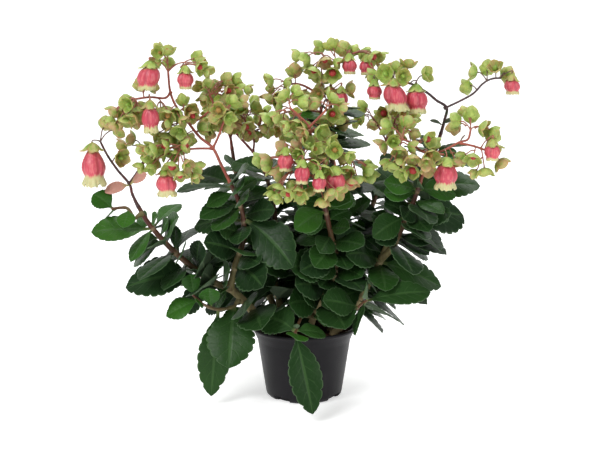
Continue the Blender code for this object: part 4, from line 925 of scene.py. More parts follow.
def petal_skin():
    finish = Finish("petal", Specular_IOR_Level=0.5, Subsurface_Weight=0.10, Subsurface_Scale=0.003)
    along, rib, tone = finish.mark("along"), finish.mark("rib"), finish.mark("tone")
    patch = finish.clouds(150.0, 3.0)
    streak = finish.clouds(650.0, 3.0, (1.0, 1.0, 0.12))
    pink = finish.blend(finish.plus(finish.times(tone, 0.5),
                                     finish.times(patch, 0.6)),
                        (0.44, 0.028, 0.066), (0.64, 0.090, 0.118))
    # Paler pink streaks down the coral are painted highlights.
    pink = finish.blend(finish.times(finish.span(streak, 0.45, 0.68), 0.38), pink, (0.80, 0.27, 0.26))
    # Painted shade: darker crimson in the grooves and nerve furrows, where the rib mark is high.
    pink = finish.blend(finish.times(finish.span(rib, 0.30, 0.95), 0.75), pink, (0.21, 0.008, 0.030))
    neck = finish.blend(finish.span(along, 0.13, 0.01), pink, (0.36, 0.32, 0.10))
    cream = finish.blend(patch, (0.66, 0.58, 0.31), (0.50, 0.52, 0.24))
    cream = finish.blend(finish.times(finish.span(streak, 0.46, 0.62), 0.35), cream, (0.50, 0.44, 0.18))
    frill = finish.blend(finish.span(along, 0.88, 1.02), cream, (0.60, 0.60, 0.32))
    reach = finish.plus(finish.times(finish.mark("cream"), 0.9), 0.14)
    ragged = finish.times(finish.minus(streak, 0.5), reach)
    turned = finish.blend(finish.span(finish.plus(along, ragged), 0.64, 0.76), neck, frill)
    inside = finish.blend(finish.times(finish.mark("inner"), 0.55), turned, (0.40, 0.30, 0.10))
    finish.raised(streak, 0.00035, 0.45)
    return finish.done(Base_Color=inside, Roughness=finish.span(patch, 0.3, 0.7, 0.36, 0.5))


petal = petal_skin()
draw = random.Random(23)
for name, (_, top, length, radius) in bells.items():
    bell = bell_part(top, length, radius, BELL_LOOKS.get(name, PLAIN_BELL), draw)
    place(name, joined_mesh(name, [bell]), petal, "petal", name)


# ---- The calyxes -------------------------------------------------------------------------------------------
# Behind every flower, open or still to come, sit four broad papery lobes: yellow-green, veined, blushed pink
# or orange, cupped round a bud. Each hangs on a thin hooked stalk that grows from one of the head's arms.

CALYX_RADIUS = 7.8 * MM
HOOK_RADIUS = 1.6 * MM
HOOK_DROP = 1.2 * MM
PEDICEL_STEP = 1.2 * MM


def calyx_room(route, axis, radius, depth):
    stations = route + [route[-1] + axis * depth]
    return tube(stations, [PEDICEL_RADIUS] * len(route) + [radius], STALK_SIDES)


def clear_of_bells(route):
    return is_clear(tube(route, [PEDICEL_RADIUS + 0.4 * MM] * 2, STALK_SIDES), bell_rooms)


def pedicel(routes, apex):
    """The nearest stalk from an arm to the flower's top that no bell is in the way of."""
    spots = []
    for route in routes:
        spots += [a.lerp(b, share) for a, b in zip(route[1:], route[2:]) for share in (0.3, 0.6, 0.93)]
    spots.sort(key=lambda spot: (spot - apex).length)
    choices = [[spot, apex] for spot in spots[:9]]
    return next((route for route in choices if clear_of_bells(route)), choices[0])


def nod(route):
    """The way a calyx faces: on along its pedicel, and drooping."""
    reach = (route[-1] - route[0]).normalized()
    return (reach + DOWN * 0.55).normalized()


def over_the_top(route):
    """A bell's pedicel: it rises over the flower, hooks round and drops straight into it."""
    back = route[0] - route[-1]
    back.z = 0
    back = back.normalized() * HOOK_RADIUS
    middle = route[-1] + UP * HOOK_DROP + back
    turns = [math.radians(t) for t in (120, 80, 40, 0)]
    hook = [middle - back * math.cos(t) + UP * (HOOK_RADIUS * math.sin(t)) for t in turns]
    return [route[0]] + hook + [route[-1]]


def settle_calyx(apex, routes):
    """A calyx's pedicel, axis and radius: it moves a little, or is smaller, if something is in its way."""
    shifts = [Vector(v) for v in ((0, 0, 0), (0, 0, 1), (0, 1, 0), (1, 0, 0), (0, 0, -1), (0, -1, 0),
                                  (-1, 0, 0), (1, 1, 1), (-1, -1, 1), (1, -1, -1), (-1, 1, -1))]
    for radius in (CALYX_RADIUS, CALYX_RADIUS * 0.8, CALYX_RADIUS * 0.6):
        for reach in (0, 4, 8, 12, 16):
            for shift in shifts:
                spot = apex + shift * (reach * MM)
                route = pedicel(routes, spot)
                axis = nod(route)
                corners = calyx_room(route, axis, radius + MM, CALYX_DEPTH + MM)[0]
                fat = ringed([corners[-2 * STALK_SIDES:-STALK_SIDES], corners[-STALK_SIDES:]])
                if is_clear(fat) and clear_of_bells(route):
                    return route, axis, radius
    return route, axis, radius


caps = []
for name, head in HEADS.items():
    for bell_name, _ in head["bells"]:
        _, top, length, radius = bells[bell_name]
        route = over_the_top(pedicel(head_routes[name], top + UP * (GAP + CALYX_DEPTH)))
        caps.append((name, route, DOWN, radius))
        note(calyx_room(route, DOWN, radius, CALYX_DEPTH))
cups = []
for name, head in HEADS.items():
    for spot in head["calyxes"]:
        route, axis, radius = settle_calyx(at(*spot), head_routes[name])
        cups.append((name, route, axis, radius))
        note(calyx_room(route, axis, radius, CALYX_DEPTH))

# The smaller flowers that crowd round each of these on the same arm: how often one is tried on each head, how
# far it stands off in millimetres, its size as a share of CALYX_RADIUS, the least space between two tops, and
# the room that the whole plant keeps to, from its middle sideways, from front to back, and up.
CROWDING = {"head_far_left": 0, "head_left": 5, "head_left_mid": 2, "head_front": 3, "head_centre": 1,
            "head_low_right": 1, "head_right": 0, "head_top": 1, "head_back": 2, "head_back_left": 2,
            "head_back_right": 2}
CROWD_REACH = (9, 13)
CROWD_SIZES = (0.66, 0.92)
CROWD_SPACE = 8.5 * MM
HEAD_ROOM = (0.226, -0.104, 0.168, 0.386)
draw = random.Random(19)
tops = [route[-1] for _, route, _, _ in caps + cups]
for name, route, _, _ in list(cups):
    for _ in range(CROWDING[name]):
        turn, tilt = draw.uniform(0, 2 * math.pi), draw.uniform(-0.9, 0.5)
        away = Vector((math.cos(turn) * math.cos(tilt), math.sin(turn) * math.cos(tilt), math.sin(tilt)))
        apex = route[-1] + away * (draw.uniform(*CROWD_REACH) * MM)
        aside, front, behind, top = HEAD_ROOM
        inside = abs(apex.x) < aside and front < apex.y < behind and apex.z < top
        if not inside or any((apex - other).length < CROWD_SPACE for other in tops):
            continue
        branch = [route[0].lerp(route[-1], 0.45), apex]
        axis = (nod(branch) + away * 0.6).normalized()
        size = CALYX_RADIUS * draw.uniform(*CROWD_SIZES)
        fat = calyx_room([apex - axis * MM, apex], axis, size, CALYX_DEPTH)
        if is_clear(fat, bell_rooms) and clear_of_bells(branch):
            cups.append((name, branch, axis, size))
            tops.append(apex)

# A lobe's middle line, out from the flower's axis and forward along it, in shares of the cup's radius and
# depth, with half its width there as a share of the radius.
CUP_LOBE = [(0.05, 0.00, 0.06), (0.28, 0.04, 0.30), (0.54, 0.17, 0.58), (0.76, 0.38, 0.78),
            (0.92, 0.64, 0.84), (1.05, 0.92, 0.74), (1.15, 1.16, 0.50), (1.23, 1.30, 0.20), (1.26, 1.34, 0.02)]
CAP_LOBE = [(0.06, 0.00, 0.07), (0.22, 0.14, 0.20), (0.38, 0.36, 0.36), (0.52, 0.62, 0.46),
            (0.64, 0.88, 0.46), (0.76, 1.08, 0.36), (0.90, 1.20, 0.22), (1.02, 1.22, 0.08), (1.06, 1.21, 0.01)]
LOBE_COLUMNS = (-1.0, -0.6, 0.0, 0.6, 1.0)
LOBE_WALL = 0.45 * MM
BUD_SIDES = 10
# How much wider a ripe bud is than a green one, and how far one reaches as a share of CALYX_DEPTH.
BUD_SWELL = 0.75
BUD_REACH = 1.15
BUD_RINGS = [(0.0, 0.05), (0.20, 0.12), (0.30, 0.30), (0.30, 0.55), (0.22, 0.80), (0.10, 0.98), (0.0, 1.04)]


def blade_faces(rows, columns):
    """The faces of a thin closed blade, whose points are its upper grid and then its lower one."""
    back = rows * columns
    faces = []
    for i in range(rows - 1):
        for a in range(i * columns, (i + 1) * columns - 1):
            faces.append((a, a + 1, a + columns + 1, a + columns))
            faces.append((back + a, back + a + columns, back + a + columns + 1, back + a + 1))
        a, b = i * columns, (i + 1) * columns - 1
        faces.append((a, a + columns, back + a + columns, back + a))
        faces.append((b + columns, b, back + b, back + b + columns))
    for a in range(columns - 1):
        b = back - columns + a
        faces.append((a, back + a, back + a + 1, a + 1))
        faces.append((b + 1, back + b + 1, back + b, b))
    return faces


def lobe_part(apex, axis, way, radius, depth, outline, blush, draw):
    """One lobe as a thin cupped blade with a crease down its middle, leaning its own way."""
    across = axis.cross(way).normalized()
    lean, twist = draw.uniform(-0.08, 0.14), draw.uniform(-0.12, 0.12)
    size = draw.uniform(0.94, 1.1)
    upper = []
    lower = []
    for i, (off, on, half) in enumerate(outline):
        share = i / (len(outline) - 1)
        middle = apex + way * (off * radius * (1 + lean * share) * size) + axis * (on * depth * size)
        before, after = outline[max(i - 1, 0)], outline[min(i + 1, len(outline) - 1)]
        run = way * ((after[0] - before[0]) * radius) + axis * ((after[1] - before[1]) * depth)
        inward = across.cross(run).normalized()
        if inward.dot(axis) < 0:
            inward = -inward
        row = []
        for column in LOBE_COLUMNS:
            reach = half * radius * size * column
            out = abs(column)
            cupped = inward * (out ** 1.6 * half * radius * 0.34 - 0.10 * radius * (column == 0) * half)
            ripple = inward * (math.sin(share * 7 + column * 2 + blush * 9) * 0.035 * radius * out)
            row.append(middle + across * reach + cupped + ripple + across * (twist * share * radius * 0.25))
        upper += row
        lower += [p - inward * LOBE_WALL * (1 - 0.6 * abs(c)) for p, c in zip(row, LOBE_COLUMNS)]
    rows, columns = len(outline), len(LOBE_COLUMNS)
    along = [i / (rows - 1) for i in range(rows) for _ in LOBE_COLUMNS]
    edge = [abs(c) for c in LOBE_COLUMNS] * rows
    return upper + lower, blade_faces(rows, columns), {"along": along * 2, "edge": edge * 2, "blush": blush}


def calyx_parts(route, axis, radius, is_cap, ruddy, draw):
    """Four lobes at the corners of the room they take, and a bud in a cup that has no open flower."""
    apex = route[-1]
    side = frames(route + [apex + axis * CALYX_DEPTH])[1][-1]
    side = (side - axis * side.dot(axis)).normalized()
    blush = draw.random() ** 1.5 * (1.0 - ruddy) + ruddy
    parts = []
    for k in range(4):
        way = Matrix.Rotation(k * math.pi / 2, 3, axis) @ side
        outline = CAP_LOBE if is_cap else CUP_LOBE
        parts.append(lobe_part(apex, axis, way, radius * 0.98, CALYX_DEPTH, outline, blush, draw))
    if not is_cap:
        plump = draw.uniform(0.75, 1.1)
        ripe = draw.choice((0.0, 0.1, 0.25, 0.6, 1.0))
        swell = radius * plump * (1.0 + BUD_SWELL * ripe)
        rise = axis * (CALYX_DEPTH * plump * BUD_REACH)
        rings = [circle(apex + rise * on, side, axis.cross(side), reach * swell, BUD_SIDES if reach else 1)
                 for reach, on in BUD_RINGS]
        parts.append((*ringed(rings), {"bud": 0.35 + 0.65 * ripe, "along": 0.5, "blush": blush}))
    return parts


def pedicel_part(route, axis, tone, is_cap):
    """A thin stalk that arches from its arm and hooks over into the calyx."""
    start, apex = route[0], route[-1]
    reach = (apex - start).length
    lift = UP * (reach * (0.35 if is_cap else 0.28))
    knots = [start, start.lerp(apex, 0.38) + lift * 0.55, apex - axis * min(reach * 0.28, 3.2 * MM),
             apex + axis * 0.4 * MM]
    fine = smooth_route(knots, PEDICEL_STEP)

    def radius_at(share):
        flare = 0.55 * math.exp(-(share * 9) ** 2) + 0.7 * smooth_step(share, 0.86, 1.0)
        return PEDICEL_RADIUS * (0.92 + flare)

    return stem_part(fine, radius_at, tone, 8, 0.35)


def calyx_paper():
    finish = Finish("calyx", Specular_IOR_Level=0.4, Subsurface_Weight=0.10, Subsurface_Scale=0.003)
    along, edge, blush = finish.mark("along"), finish.mark("edge"), finish.mark("blush")
    patch = finish.clouds(120.0, 3.0)
    vein = finish.clouds(520.0, 3.0)
    green = finish.blend(finish.span(patch, 0.25, 0.72), (0.180, 0.310, 0.036), (0.440, 0.560, 0.130))
    pale = finish.blend(finish.span(along, 0.25, 1.0, 0.0, 0.6), green, (0.50, 0.53, 0.22))
    flushed = finish.times(finish.span(blush, 0.35, 1.0), finish.span(patch, 0.36, 0.66))
    tan = finish.blend(finish.times(flushed, 0.85), pale, (0.52, 0.27, 0.17))
    rim = finish.times(finish.span(edge, 0.70, 1.0), finish.span(blush, 0.1, 0.6, 0.2, 0.7))
    edged = finish.blend(rim, tan, (0.58, 0.24, 0.14))
    veined = finish.blend(finish.times(finish.span(vein, 0.52, 0.66), 0.30), edged, (0.16, 0.24, 0.04))
    bud = finish.mark("bud")
    unripe = finish.blend(finish.span(bud, 0.30, 0.40), veined, (0.26, 0.40, 0.07))
    ripe = finish.blend(finish.span(bud, 0.50, 0.95), unripe, (0.46, 0.045, 0.045))
    finish.raised(finish.plus(vein, finish.times(patch, 0.5)), 0.0005, 0.5)
    return finish.done(Base_Color=ripe, Roughness=finish.span(vein, 0.3, 0.7, 0.42, 0.6))


# How far the calyxes of the oldest heads have turned from green to a papery pink.
RUDDY = {"head_far_left": 0.75, "head_centre": 0.25, "head_back": 0.3}
calyx_skin = calyx_paper()
draw = random.Random(31)
calyx_pieces = {name: [] for name in HEADS}
for found, is_cap in ((caps, True), (cups, False)):
    for name, route, axis, radius in found:
        calyx_pieces[name] += calyx_parts(route, axis, radius, is_cap, RUDDY.get(name, 0.0), draw)
        stalk_parts[name].append(pedicel_part(route, axis, STALK_TONES[name], is_cap))
for name in HEADS:
    place(name + "_stalks", joined_mesh(name + "_stalks", stalk_parts[name]), stalk, "flower_stalk", name)
    calyx_mesh = joined_mesh(name + "_calyxes", calyx_pieces[name])
    place(name + "_calyxes", calyx_mesh, calyx_skin, "flower_stalk", name)


# ---- The side shoots ---------------------------------------------------------------------------------------
# Short brown twigs that broke from the canes low down, some hanging over the pot's lip, each with a few
# leaves round its end. They are the same wood as the canes, thinner and greener towards the tip.

TWIG_RADIUS = 2.0 * MM
TWIG_SIDES = 12
LEAF_CLEARANCE = 1.2 * MM
SHOOTS = {
    "shoot_front": {
        "stem": "cane_front",
        "twig": [(4, -22, 24), (-2, -40, 27), (-7, -60, 22), (-10, -80, 18)],
        "leaves": [(0.96, (5, -98, -47), 31), (0.93, (-55, -72, 28), 34), (0.90, (50, -92, 16), 31),
                   (0.87, (-4, -88, 48), 22), (0.98, (-16, -97, -2), 21)],
    },
    "shoot_right": {
        "stem": "cane_right",
        "twig": [(44, -18, 14), (50, -32, 24), (57, -44, 37), (67, -55, 49)],
        "leaves": [(0.96, (136, -50, 57), 27), (0.93, (106, -64, 8), 32), (0.78, (18, -74, 54), 32),
                   (0.90, (84, -80, 26), 26), (0.98, (83, -64, 72), 17)],
    },
    "shoot_left": {
        "stem": "cane_left",
        "twig": [(-66, -30, 40), (-85, -38, 34), (-100, -44, 37), (-112, -48, 45), (-119, -50, 53)],
        "leaves": [(0.35, (-79, -66, -12), 46), (0.6, (-101, -44, -42), 32), (0.9, (-144, -54, 32), 23),
                   (0.7, (-100, -66, 68), 20), (0.98, (-121, -56, 82), 19), (0.95, (-137, -60, 50), 20)],
    },
    "shoot_far_left": {
        "stem": "cane_left",
        "twig": [(-174, -29, 139), (-184, -32, 143), (-194, -34, 144), (-205, -38, 144)],
        "leaves": [(0.98, (-225, -44, 163), 24), (0.94, (-226, -42, 140), 18), (0.7, (-190, -52, 128), 18)],
    },
}


def shoot_path(shoot, stem, stem_radii):
    """The twig's stations: it leaves its stem squarely, a gap clear of the stem's skin."""
    points = [at(*p) for p in shoot["twig"]]
    share = nearest_on(stem, points[0])[2]
    k = min(int(share * (len(stem) - 1)), len(stem) - 2)
    spot = stem[k].lerp(stem[k + 1], 0.5)
    along = (stem[k + 1] - stem[k]).normalized()
    outward = points[1] - spot
    outward = (outward - along * outward.dot(along)).normalized()
    start = spot + outward * (stem_radii[k] + GAP)
    rest = smooth_route([start + outward * (8 * MM)] + points[1:], STALK_STEP)
    return [start, start + outward * (3 * MM)] + rest


twigs = {}
for name, shoot in SHOOTS.items():
    twigs[name] = shoot_path(shoot, *paths[shoot["stem"]])
    note(tube(twigs[name], taper(TWIG_RADIUS, TWIG_RADIUS * 0.7, len(twigs[name])), 6), stem=name)


def twig_part(route):
    """A twig with a flared foot that merges into its cane, and small knuckles along it."""
    way = (route[1] - route[0]).normalized()
    fine = smooth_route([route[0] - way * 3 * MM] + route, BARK_STEP)
    rings = []
    age = []
    for i, (spot, tangent, side) in enumerate(zip(fine, *frames(fine))):
        share = i / (len(fine) - 1)
        walked = i * BARK_STEP / MM
        radius = TWIG_RADIUS * (1 - 0.3 * share + 0.9 * math.exp(-(walked / 4.5) ** 2))
        radius += 0.28 * MM * math.exp(-(((walked + 5) % 13 - 6.5) / 1.5) ** 2)
        other = tangent.cross(side)
        rings.append([spot + way * (radius + noise.noise((spot + way * radius) * 240) * 0.16 * MM)
                      for way in circle(Vector(), side, other, 1.0, TWIG_SIDES)])
        age += [0.62 - 0.42 * share] * TWIG_SIDES
    return *ringed(rings), {"age": age}


for name in SHOOTS:
    place(name + "_twig", joined_mesh(name + "_twig", [twig_part(twigs[name])]), bark, "cane", name)


# ---- The leaves --------------------------------------------------------------------------------------------
# Leaves stand in crossed pairs up each cane and at the shoots' ends: thick, fleshy, oval blades on short
# stalks, dark and glossy above, grey-green below, with a scalloped margin edged in paler green and a light
# midrib. The youngest, at the tips and in the older leaves' axils, are small and bright.

LEAF_LENGTH = 62.0 * MM
LEAF_WIDTH_SHARE = 0.62
YOUNG_WIDTH_SHARE = 0.66
LEAF_THICKNESS = 1.8 * MM
LEAF_FOLD = 0.16
LEAF_DROOP = 0.20
LEAF_LIFT = 14.0
PETIOLE_WIDTH = 4.0 * MM
LIGHT = Vector((0.0, -0.9, 1.0))
# The room a leaf takes: how far along, half its width and its thickness, as shares.
LEAF_ROOM = [(0.30, 0.62, 1.0), (0.56, 1.0, 1.0), (0.82, 0.74, 0.7)]
# Pairs whose two tips come to known places: x, y and height of each tip.
LEAF_AIMS = {
    ("cane_left", 3): ((-188, -54, 66), (-70, -20, 108)),
    ("cane_left", 6): ((-221, -50, 124), (-136, -8, 146)),
    ("cane_right", 2): ((44, -54, 98), (147, -16, 98)),
    ("cane_right", 4): ((137, -48, 106), (186, -12, 132)),
    ("cane_right", 5): ((74, -34, 170), (187, -14, 168)),
    ("fork_left", 2): ((-22, -66, 92), (-112, -30, 124)),
    ("cane_front", 3): ((58, -66, 64), (-12, -62, 86)),
    ("fork_right", 1): ((152, -50, 144), (78, -56, 118)),
}


def leaf_room(base, direction, hint, length, width, grow=0.0, skip=0.0):
    """The plain solid a leaf takes up, fattened by grow and started a skip away from its base."""
    along = direction.normalized()
    across = along.cross(hint).normalized()
    face = across.cross(along)
    fall = DOWN * (length * LEAF_DROOP)

    def section(t, half, thick):
        middle = base + along * (length * t) + fall * (t * t)
        edge = across * half
        lift = face * (half * LEAF_FOLD + grow)
        return [middle - edge + lift, middle + edge + lift, middle - face * thick]

    rings = [section(skip / length, PETIOLE_WIDTH / 2 + grow, LEAF_THICKNESS + 2 * grow)]
    for t, half, thick in LEAF_ROOM:
        rings.append(section(t, half * width / 2 + grow, LEAF_THICKNESS * thick + 2 * grow))
    rings.append([base + along * (length + grow) + fall])
    return ringed(rings)


def choices(turns, lifts, sizes):
    """Sizes, turns round the stem and lifts to try, the least changed first."""
    tries = sorted(((abs(t) + 1.2 * abs(l), t, l) for t in turns for l in lifts))
    return [(size, turn, lift) for size in sizes for _, turn, lift in tries]


LIFTS = [0, 12, -12, 24, -24, 36, -36, 50]
LEAF_CHOICES = choices([0, -12, 12, -24, 24, -36, 36, -50, 50, -65, 65, -80, 80], LIFTS,
                       (1.0, 0.86, 0.72, 0.58, 0.46, 0.36))
LEAF_CHOICES += choices([-100, 100, -125, 125, -150, 150, 180], LIFTS, (0.58, 0.46, 0.36, 0.27))
FILL_CHOICES = choices([0, -20, 20, -42, 42, -64, 64, 90], [0, 15, -15, 32, -32, 48], (1.0, 0.82, 0.66, 0.52))
SMALL_CHOICES = choices([0, -25, 25, -55, 55, 85], [0, 18, -18, 36], (1.0, 0.74, 0.52))


def settle_leaf(base, axis, direction, hint, length, width, stem, skip, tries=LEAF_CHOICES,
                is_separate=False, clearance=LEAF_CLEARANCE):
    """The first of the tries in which the leaf clears everything in place: whether it did, and the leaf."""
    ring = stem + " collar"
    for size, turn, lift in tries:
        aim = Matrix.Rotation(math.radians(turn), 3, axis) @ direction
        sideways = aim.cross(UP)
        if sideways.length > 0.2:
            aim = Matrix.Rotation(math.radians(lift), 3, sideways.normalized()) @ aim
        facing = Matrix.Rotation(math.radians(turn), 3, axis) @ hint
        long, wide = length * size, width * size
        free = (is_clear(leaf_room(base, aim, facing, long, wide, clearance), own=(stem, ring))
                and is_clear(leaf_room(base, aim, facing, long, wide, clearance, skip)))
        if free and is_separate:
            free = is_clear(leaf_room(base, aim, facing, long, wide, GAP), own=(ring,))
        if free:
            break
    if free or tries is LEAF_CHOICES:
        note(leaf_room(base, aim, facing, long, wide))
    return free, (base, aim, facing, long, wide)


# The blade's outline: how far along, and half its width there as a share of its greatest.
OUTLINE = [(0.0, 0.11), (0.05, 0.10), (0.10, 0.12), (0.15, 0.22), (0.20, 0.38), (0.26, 0.56), (0.34, 0.75),
           (0.44, 0.92), (0.54, 1.0), (0.64, 1.0), (0.74, 0.90), (0.83, 0.73), (0.91, 0.49), (0.96, 0.28),
           (1.0, 0.03)]
BLADE_ROWS = 57
# The blade is a little longer and wider than its plain solid.
BLADE_GROWTH = (1.03, 1.10)
BLADE_COLUMNS = (-1.0, -0.93, -0.62, -0.28, -0.06, 0.06, 0.28, 0.62, 0.93, 1.0)
TEETH = 7
TOOTH_DEPTH = 0.16
BLADE_WALL = 1.1 * MM


def outline_at(t):
    for (t0, w0), (t1, w1) in zip(OUTLINE, OUTLINE[1:]):
        if t <= t1:
            return w0 + (w1 - w0) * smooth_step(t, t0, t1) * 0.35 + (w1 - w0) * (t - t0) / (t1 - t0) * 0.65
    return OUTLINE[-1][1]


def leaf_part(root, leaf, young, draw):
    """A fleshy blade: folded at the midrib, quilted between its veins, scalloped and waved at its margin."""
    base, direction, hint, length, width = leaf
    length, width = length * BLADE_GROWTH[0], width * BLADE_GROWTH[1]
    along = direction.normalized()
    across = along.cross(hint).normalized()
    face = across.cross(along)
    fall = DOWN * (length * LEAF_DROOP)
    fold = draw.uniform(0.10, 0.24)
    wave, phase = draw.uniform(0.02, 0.06), draw.uniform(0, 6.28)
    bend = draw.uniform(-0.05, 0.05)
    skew = draw.uniform(-0.02, 0.02)
    tooth = TOOTH_DEPTH * (0.55 if young > 0.6 else 1.0)
    shares = [i / (BLADE_ROWS - 1) for i in range(BLADE_ROWS)]
    upper = []
    lower = []
    for t in shares:
        swerve = across * (bend * width * math.sin(t * math.pi))
        middle = base + along * (length * t) + fall * (t * t) + swerve
        if t < 0.08:
            middle = root.lerp(middle, t / 0.08)
        half = outline_at(t)
        toothed = smooth_step(t, 0.20, 0.34)
        scallop = {}
        for flip in (-1, 1):
            beat = TEETH * (t - 0.2) / 0.8 + flip * skew * 8
            rounded = abs(math.sin(math.pi * beat + 0.30 * math.sin(2 * math.pi * beat)))
            scallop[flip] = toothed * tooth * (rounded ** 0.6 - 0.66) * (1.0 - 0.6 * smooth_step(t, 0.9, 1.0))
        stalk = 1 - smooth_step(t, 0.06, 0.2)
        for column in BLADE_COLUMNS:
            flip = 1 if column > 0 else -1
            out = abs(column)
            size = max(0.015, half + scallop[flip] * smooth_step(out, 0.55, 1.0)) * width / 2
            reach = column * size
            lift = abs(reach) * fold - 0.10 * abs(reach) * out + 0.30 * MM * (out < 0.1)
            groove = -0.55 * MM * math.exp(-(column / 0.10) ** 2)
            vein = TEETH * t - 1.6 * out
            quilt = 0.38 * MM * abs(math.sin(math.pi * vein)) * (out < 0.9) * smooth_step(t, 0.15, 0.3)
            curl = wave * width * out ** 2 * math.sin(7.0 * t + phase + flip * 1.3)
            rise = lift + (groove + quilt) * min(1.0, half * 1.4) + curl * half
            wall = BLADE_WALL * (1 - 0.65 * out ** 2) * (1 + 0.5 * stalk)
            keel = 0.75 * MM * math.exp(-(out / 0.12) ** 2) * (1 - 0.7 * t)
            upper.append(middle + across * reach + face * rise)
            lower.append(middle + across * reach + face * (rise - wall - keel))
    across_row = [abs(column) for column in BLADE_COLUMNS]
    under_row = [0.5 if out == 1 else 1.0 for out in across_row]
    marks = {"along": [t for t in shares for _ in BLADE_COLUMNS] * 2,
             "across": across_row * BLADE_ROWS * 2,
             "under": [0.0] * len(upper) + under_row * BLADE_ROWS,
             "young": young, "shade": draw.random()}
    return upper + lower, blade_faces(BLADE_ROWS, len(BLADE_COLUMNS)), marks


def leaf_skin():
    finish = Finish("leaf", Specular_IOR_Level=0.15)
    along, across = finish.mark("along"), finish.mark("across")
    under, young, shade = finish.mark("under"), finish.mark("young"), finish.mark("shade")
    patch = finish.clouds(55.0, 3.0)
    mottle = finish.clouds(420.0, 3.0)
    wobble = finish.times(finish.minus(finish.clouds(160.0, 2.0), 0.5), 0.35)
    beat = finish.minus(finish.times(along, float(TEETH)),
                        finish.times(across, 1.6))
    beat = finish.maths("ABSOLUTE", finish.minus(finish.maths("FRACT", finish.plus(beat, wobble)),
                                                 0.5))
    side_vein = finish.times(finish.span(beat, 0.42, 0.5), finish.span(across, 0.95, 0.3))
    midrib = finish.span(across, 0.13, 0.02)
    veins = finish.maths("MAXIMUM", midrib, finish.times(side_vein, 0.45))
    tone = finish.plus(finish.times(shade, 0.6), finish.times(patch, 0.5))
    old = finish.blend(tone, (0.0060, 0.0175, 0.0062), (0.0150, 0.0385, 0.0135))
    fresh = finish.blend(tone, (0.018, 0.085, 0.008), (0.055, 0.180, 0.016))
    green = finish.blend(young, old, fresh)
    green = finish.blend(finish.times(finish.span(mottle, 0.45, 0.7), 0.25), green, (0.026, 0.056, 0.022))
    ribbed = finish.blend(finish.times(veins, 0.45), green, (0.075, 0.160, 0.048))
    edge = finish.span(across, 0.90, 0.985)
    edged = finish.blend(finish.times(edge, 0.42), ribbed, (0.110, 0.190, 0.085))
    grey = finish.blend(tone, (0.062, 0.098, 0.056), (0.100, 0.145, 0.085))
    grey = finish.blend(finish.times(veins, 0.5), grey, (0.250, 0.320, 0.190))
    below = finish.blend(finish.times(under, 0.92), edged, grey)
    stalky = finish.blend(finish.span(along, 0.13, 0.02), below, (0.165, 0.200, 0.070))
    relief = finish.plus(finish.times(veins, -0.8), finish.times(mottle, 0.5))
    finish.raised(relief, 0.0007, 0.6)
    rough = finish.plus(finish.span(under, 0.0, 1.0, 0.30, 0.58), finish.times(mottle, 0.12))
    return finish.done(Base_Color=stalky, Roughness=rough)


blade = leaf_skin()
draw = random.Random(47)
stem_leaves = {name: [] for name in paths}
for name, shoot in SHOOTS.items():
    parts = []
    for share, tip, width in shoot["leaves"]:
        base, _ = part_way(twigs[name], share)
        aim = at(*tip) - base
        length = aim.length
        aim = aim.normalized() + UP * LEAF_DROOP
        skip = TWIG_RADIUS + LEAF_CLEARANCE * 2
        _, leaf = settle_leaf(base, UP, aim, LIGHT, length, width * MM, name, skip)
        parts.append(leaf_part(base, leaf, 0.9 if width < 25 else draw.uniform(0.1, 0.3), draw))
    place(name, joined_mesh(name, parts), blade, "leaf", name)

pairs = []
for stem_name, (count, first, last, first_size, last_size, turn, own) in LEAF_PAIRS.items():
    stations, radii = paths[stem_name]
    spots = pair_places(stations, radii, count, first, last)
    for number, (middle, along, radius, _, share) in enumerate(spots):
        facing = Matrix.Rotation(math.radians(turn + 90 * number), 3, along) @ along.orthogonal().normalized()
        lift = math.radians(LEAF_LIFT)
        aims = [facing * (flip * math.cos(lift)) + along * math.sin(lift) for flip in (1, -1)]
        lengths = [LEAF_LENGTH * (first_size + (last_size - first_size) * share)] * 2
        known = LEAF_AIMS.get((stem_name, number))
        if known:
            reaches = [at(*tip) - middle for tip in known]
            lengths = [min(reach.length, LEAF_LENGTH * 1.2) for reach in reaches]
            aims = [reach.normalized() + UP * LEAF_DROOP for reach in reaches]
        rank = 0 if known else 1 if number in own else 2
        pairs.append((rank, stem_name, number, middle, along, radius, aims, lengths, number in own, share))
pairs.sort(key=lambda pair: pair[0])

pair_leaves = {}
for _, stem_name, number, middle, along, radius, aims, lengths, own, share in pairs:
    away = Vector((middle.x, middle.y, 0.0)).normalized()
    hint = along * 0.3 + away * 0.6 + LIGHT * 0.7
    for aim, length in zip(aims, lengths):
        outward = (aim - along * aim.dot(along)).normalized()
        inset = radius + GAP + COLLAR_WALL * 0.55 if own else radius * 0.4
        base = middle + outward * inset
        skip = radius + COLLAR_WALL + LEAF_CLEARANCE * 2 - inset
        _, leaf = settle_leaf(base, along, aim, hint, length, length * LEAF_WIDTH_SHARE, stem_name, skip,
                              is_separate=own)
        age = 0.55 * smooth_step(share, 0.6, 1.0) + draw.uniform(0.0, 0.22) + 0.25 * (leaf[3] < 26 * MM)
        part = leaf_part(middle + outward * radius * 0.4, leaf, min(1.0, age), draw)
        if own:
            pair_leaves.setdefault((stem_name, number), []).append(part)
        else:
            stem_leaves[stem_name].append(part)

